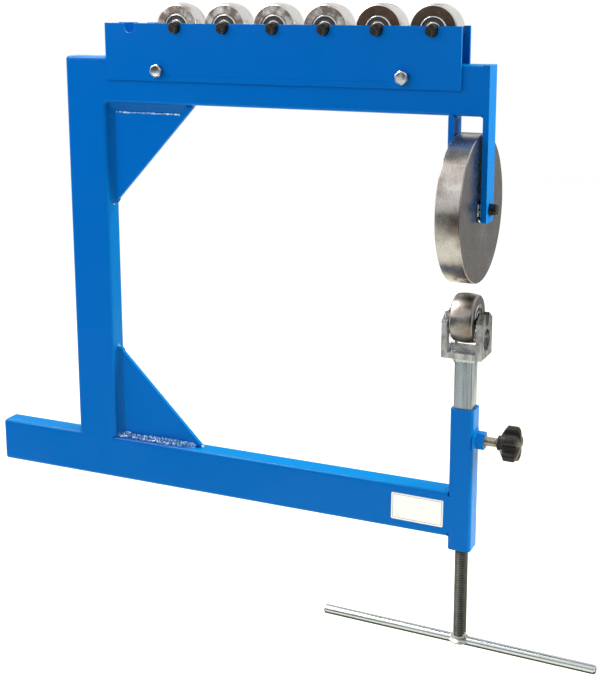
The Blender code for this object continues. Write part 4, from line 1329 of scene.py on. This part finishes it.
class ENGLISHWHEEL_OT_welds(Undoable, bpy.types.Operator):
    """Builds the painted weld beads of the frame and a few spots of spatter."""

    bl_idname = "english_wheel.welds"
    bl_label = "Weld beads"

    def execute(self, context):
        sizes = settings("frame")
        post, beam, lower, sleeve = places("post top_beam lower_beam ram_sleeve")
        nut, inner, outer = places("lock_nut inner_fork_leg outer_fork_leg")
        corner, broad, cross = sizes.tube_corner, sizes.gusset_weld, sizes.cross_weld
        side = beam.size.y / 2 - corner * 0.6
        fillets, shaded_fillets, lumpy = bmesh.new(), bmesh.new(), bmesh.new()
        gussets = (
            (Place("lower_gusset"), lower.high.z, 1),
            (Place("upper_gusset"), beam.low.z, -1),
        )
        seed = 0.0
        for out in (SOUTH, NORTH):
            narrow = Vector(out) * 0.76
            for gusset, floor, rise in gussets:
                face = gusset.low.y if out == SOUTH else gusset.high.y
                seed += 1.7
                start = (post.high.x, face, floor - rise * broad)
                end = (post.high.x, face, floor + rise * (gusset.size.z + 0.001))
                add_bead(shaded_fillets, start, end, narrow, EAST, broad, seed, 0.03, -0.17)
                start = (post.high.x - broad, face, floor)
                end = (post.high.x + gusset.size.x - 0.006, face, floor)
                if rise == 1:
                    add_bead(lumpy, start, end, out, UP, sizes.rough_weld, seed + 0.5, 0.30, 0.16)
                else:
                    lean, toe = (0, 0, -1.25), floor - 1.25 * broad
                    add_bead(shaded_fillets, start, end, narrow, lean, broad, seed + 0.5, 0.03, -0.02)
                    start = (post.high.x + broad * 0.9, face, toe)
                    end = (post.high.x + gusset.size.x - 0.016, face, toe)
                    add_ground_weld(lumpy, start, end, out, 0.0022, 0.0010, 0.0009)
        for gusset, floor, rise in gussets:
            for x, z, leg, later in (
                (post.high.x, floor + rise * gusset.size.z, 0.0045, 3),
                (gusset.high.x, floor, 0.0040, 4),
            ):
                start, end = (x, gusset.low.y, z), (x, gusset.high.y, z)
                add_bead(lumpy, start, end, EAST, (0, 0, rise), leg, seed + later, 0.22, 0.05)
        for x, z, out, rise, leg in (
            (post.low.x, lower.high.z, WEST, UP, cross * 0.8),
            (inner.low.x, beam.low.z, WEST, DOWN, cross * 0.7),
            (inner.high.x, beam.low.z, EAST, DOWN, cross * 1.25),
            (outer.low.x, beam.low.z, WEST, DOWN, cross * 1.4),
            (sleeve.low.x, lower.high.z, WEST, UP, cross * 0.6),
            (sleeve.low.x, lower.low.z, WEST, DOWN, cross * 0.7),
        ):
            seed += 1.3
            add_bead(fillets, (x, -side, z), (x, side, z), out, rise, leg, seed)
        for out in (SOUTH, NORTH):
            y = out[1] * beam.size.y / 2
            for left, right, z in (
                (post.low.x + corner, post.high.x - corner, lower.high.z - (corner / 2 - 0.0003)),
                (inner.low.x + 0.001, inner.high.x - 0.001, beam.low.z + (corner / 2 - 0.0003)),
            ):
                add_ground_weld(fillets, (left, y, z), (right, y, z), out, corner + 0.0016, 0.0032)
            x, low, high = sleeve.low.x + corner / 2 - 0.0002, lower.low.z + corner, lower.high.z - corner
            add_ground_weld(fillets, (x, y, low), (x, y, high), out, corner + 0.0022, 0.0020)
            x, low, high = outer.low.x, beam.low.z + 0.003, beam.high.z - 0.003
            add_ground_weld(fillets, (x, y, low), (x, y, high), out, 0.0036, 0.0016)
        start, end = (outer.low.x, -side, beam.high.z), (outer.low.x, side, beam.high.z)
        add_ground_weld(fillets, start, end, UP, 0.0036, 0.0016)

        rows = []
        leg, radius = sizes.nut_weld, nut.size.y / 2
        for across, height in circle(radius * 0.93, 24):
            lump = 1 + 0.20 * noise.noise(Vector((across * 300, height * 300, 2.0)))
            outward = Vector((0, across, height)).normalized()
            root = Vector((sleeve.high.x, 0, nut.centre.z)) + outward * (radius * 0.90)
            row = [root - Vector((0.0005, 0, 0))]
            for part in range(7):
                turn = QUARTER * part / 6
                reach = leg * lump * 1.5 * (1 - math.cos(turn)) + 0.0004
                row.append(root + outward * reach + Vector((leg * lump * (1 - math.sin(turn)), 0, 0)))
            row.append(row[-1] - Vector((0.0006, 0, 0)))
            rows.append(row)
        add_skin(fillets, rows, loop=True)
        build("frame_weld_fillets", finished_mesh(fillets), "blue_enamel")
        # The gusset fillets take the darker enamel as painted shade in their hollows.
        build("gusset_weld_fillets", finished_mesh(shaded_fillets), "pooled_enamel")
        build("frame_weld_beads", finished_mesh(lumpy), "weld_enamel")

        scatter = random.Random(12)
        shape = bmesh.new()
        for spot in range(9):
            size = scatter.uniform(0.0003, 0.0007)
            x = sleeve.low.x - scatter.uniform(0.0002, 0.004)
            y = scatter.uniform(-0.009, 0.006)
            place = (x, y, lower.high.z + scatter.uniform(0, 0.004))
            ball = bmesh.ops.create_icosphere(shape, subdivisions=2, radius=size)["verts"]
            bmesh.ops.scale(shape, vec=(1, 1.2, 0.7), verts=ball)
            bmesh.ops.translate(shape, vec=place, verts=ball)
        build("weld_spatter", finished_mesh(shape), "burnt_spatter")
        return {"FINISHED"}


class ENGLISHWHEEL_OT_label(Undoable, bpy.types.Operator):
    """Builds the blank sticker on the front of the lower beam."""

    bl_idname = "english_wheel.label"
    bl_label = "Blank label"

    def execute(self, context):
        wide, high, thick, corner, margin, line = 0.0575, 0.0296, 0.0002, 0.0014, 0.0016, 0.0004
        x, z, tilt = 0.1687, 0.0250, 0.012
        rows = []
        for inset in (0, margin, margin + line):
            size = (wide - 2 * inset, high - 2 * inset)
            loop = rounded_rectangle(*size, max(corner - inset, 0.0003), 5)
            rows.append([(across, up, thick) for across, up in loop])
        rows.insert(0, [(across, up, -thick) for across, up, height in rows[0]])
        build(
            "blank_label", skin_mesh(rows, bands=(0, 0, 1)), "blank_vinyl border_ink",
            turn=Matrix.Rotation(tilt, 4, "Y") @ UPRIGHT_XZ, centre=(x, Place("lower_beam").low.y, z),
        )
        return {"FINISHED"}


# Each lamp has its size, its place, its aim, its tint and whether reflections show it.
LAMPS = {
    "key": ((0.9, 0.9), (-0.95, -0.85, 1.05), (-0.15, 0, 0.3), WHITE, True),
    "strip": ((1.2, 0.5), (-0.25, -1.5, 1.35), (0.1, 0, 0.3), WHITE, False),
    "side": ((0.7, 0.9), (1.15, 0.15, 0.7), (0, 0, 0.2), WARM, False),
    "top": ((1.2, 0.6), (-0.1, 0.45, 1.45), (-0.05, 0, 0.2), SUNNY, False),
    "back": ((0.9, 0.5), (-1.35, 1.10, 0.95), (-0.3, 0, 0.05), WHITE, True),
    "edge": ((0.9, 0.5), (-0.80, -0.28, 1.30), (-0.80, -0.28, 0), WHITE, True),
}

# Each card is an even grey that only reflections see: its size, its place, its aim and its level.
CARDS = {
    "front_card": ((1.0, 0.68), (-0.75, -0.98, 0.14), (-0.75, 0, 0.14), 0.02),
    "bench_card": ((1.0, 0.60), (-0.75, -0.68, -0.195), (-0.75, -0.68, 1), 0.02),
    "wheel_card": ((0.30, 0.34), (-0.03, -0.98, 0.19), (-0.03, 0, 0.19), 0.02),
    "high_card": ((0.7, 0.9), (-0.15, 0.35, 1.55), (-0.15, 0.35, 0), 0.02),
    "right_card": ((1.7, 0.62), (1.10, 1.20, 0.12), (1.10, 0, 0.12), 0.30),
    "left_card": ((1.9, 0.80), (-1.05, 1.20, 0.42), (-1.05, 0, 0.42), 0.20),
    "under_card": ((0.6, 0.22), (0.20, 0.04, -0.19), (0.20, 0.04, 1), 0.12),
    "corner_card": ((1.5, 0.9), (0.80, -0.80, 0.26), (0.20, 0, 0.26), 0.02),
}


def facing(place, aim):
    """The turn of a lamp or a card at that place that faces its aim."""
    return (Vector(aim) - Vector(place)).to_track_quat("-Z", "Y").to_matrix().to_4x4()


class ENGLISHWHEEL_OT_stage(Undoable, bpy.types.Operator):
    """Sets up the floor, the lamps, the even light and the camera."""

    bl_idname = "english_wheel.stage"
    bl_label = "Studio"

    def execute(self, context):
        studio, scene = settings("studio"), context.scene
        shape = bmesh.new()
        bmesh.ops.create_circle(shape, cap_ends=True, segments=96, radius=studio.reach)
        floor = new_piece("studio_floor", finished_mesh(shape), centre=(0, 0, -studio.floor))
        floor.data.materials.append(pale_floor())

        scene.world = bpy.data.worlds.new("pale_room")
        room = Nodes(scene.world)
        plain = room.tree.nodes["Background"]
        room.feed(plain.inputs["Color"], (0.93, 0.96, 1.0))
        room.feed(plain.inputs["Strength"], studio.sky)
        white = room.node("ShaderNodeBackground", {"Color": WHITE, "Strength": 1})
        room.backdrop(plain, white, "World Output")

        for name, (size, place, aim, tint, reflected) in LAMPS.items():
            lamp = bpy.data.lights.new(f"{name}_lamp", "AREA")
            lamp.shape, lamp.energy, lamp.color = "RECTANGLE", getattr(studio, name), tint
            lamp.size, lamp.size_y = size
            holder = new_piece(lamp.name, lamp, facing(place, aim), place)
            holder.visible_glossy = reflected
            holder.visible_diffuse = name != "edge"
        for name, (size, place, aim, level) in CARDS.items():
            shape = bmesh.new()
            bmesh.ops.create_grid(shape, x_segments=1, y_segments=1, size=0.5)
            bmesh.ops.scale(shape, vec=(*size, 1), verts=shape.verts)
            card = new_piece(name, finished_mesh(shape), facing(place, aim), place)
            material = bpy.data.materials.new(name)
            grey = Nodes(material)
            glow = grey.node("ShaderNodeEmission", {"Color": WHITE, "Strength": level})
            grey.feed(grey.tree.nodes["Material Output"].inputs["Surface"], glow.outputs[0])
            card.data.materials.append(material)
            card.visible_camera = card.visible_diffuse = card.visible_shadow = False
        scene.camera = photo_camera()
        scene.view_settings.view_transform = "Standard"
        return {"FINISHED"}


def pale_floor():
    """A pale matt floor under the lamps, and nearly white to the camera and to reflections."""
    recipe = Recipe("pale_floor", (0.90, 0.90, 0.90), 0.9)
    recipe.put("Specular IOR Level", 0.0)
    glow = recipe.node("ShaderNodeEmission", {"Color": WHITE, "Strength": 1.21})
    recipe.backdrop(recipe.shader, glow, "Material Output", 0.75)
    return recipe.material


def photo_camera():
    """The camera at the photograph's place, with its lens and its shifted view."""
    picture, middle, focal = Vector((604, 684)), Vector((304.339, 248.716)), 1266.19
    yaw, pitch, roll = (math.radians(angle) for angle in (24.197, -11.647, -0.133))
    ahead = (-math.sin(yaw) * math.cos(pitch), math.cos(yaw) * math.cos(pitch), math.sin(pitch))
    ahead, level = Vector(ahead), Vector((math.cos(yaw), math.sin(yaw), 0))
    above = level.cross(ahead)
    right = level * math.cos(roll) + above * math.sin(roll)
    top = above * math.cos(roll) - level * math.sin(roll)
    data = bpy.data.cameras.new("photo_camera")
    data.sensor_width = 36
    data.lens = focal * 36 / picture.y
    data.shift_x = (picture.x / 2 - middle.x) / picture.y
    data.shift_y = (middle.y - picture.y / 2) / picture.y
    data.clip_start, data.clip_end = 0.05, 30
    turn = Matrix((right, top, -ahead)).transposed().to_4x4()
    return new_piece("photo_camera", data, turn, (0.573745, -1.201374, 0.563327))


OPERATORS = (
    ENGLISHWHEEL_OT_stage,
    ENGLISHWHEEL_OT_frame_tubes,
    ENGLISHWHEEL_OT_gussets,
    ENGLISHWHEEL_OT_fork,
    ENGLISHWHEEL_OT_upper_wheel,
    ENGLISHWHEEL_OT_anvil,
    ENGLISHWHEEL_OT_ram_and_yoke,
    ENGLISHWHEEL_OT_lift_screw,
    ENGLISHWHEEL_OT_sleeve,
    ENGLISHWHEEL_OT_lock,
    ENGLISHWHEEL_OT_rack,
    ENGLISHWHEEL_OT_rack_bolts,
    ENGLISHWHEEL_OT_spares,
    ENGLISHWHEEL_OT_welds,
    ENGLISHWHEEL_OT_label,
)

GROUPS = {
    "frame": FrameSettings,
    "rolling": RollingSettings,
    "lift": LiftSettings,
    "finish": FinishSettings,
    "studio": StudioSettings,
}


class ENGLISHWHEEL_PT_sidebar(bpy.types.Panel):
    """Lists the sizes, the colours and the operators."""

    bl_idname = "ENGLISHWHEEL_PT_sidebar"
    bl_label = "English Wheel"
    bl_space_type = "VIEW_3D"
    bl_region_type = "UI"
    bl_category = "English Wheel"

    def draw(self, context):
        for key, group in GROUPS.items():
            box = self.layout.box()
            for prop in group.__annotations__:
                box.prop(settings(key), prop)
        for operator in OPERATORS:
            self.layout.operator(operator.bl_idname)


CLASSES = (*GROUPS.values(), *OPERATORS, ENGLISHWHEEL_PT_sidebar)


def register():
    for item in CLASSES:
        bpy.utils.register_class(item)
    for key, group in GROUPS.items():
        setattr(bpy.types.Scene, f"english_wheel_{key}", bpy.props.PointerProperty(type=group))


def unregister():
    for key in GROUPS:
        delattr(bpy.types.Scene, f"english_wheel_{key}")
    for item in reversed(CLASSES):
        bpy.utils.unregister_class(item)


def main():
    register()
    for operator in OPERATORS:
        family, name = operator.bl_idname.split(".")
        getattr(getattr(bpy.ops, family), name)()


if __name__ == "__main__":
    main()
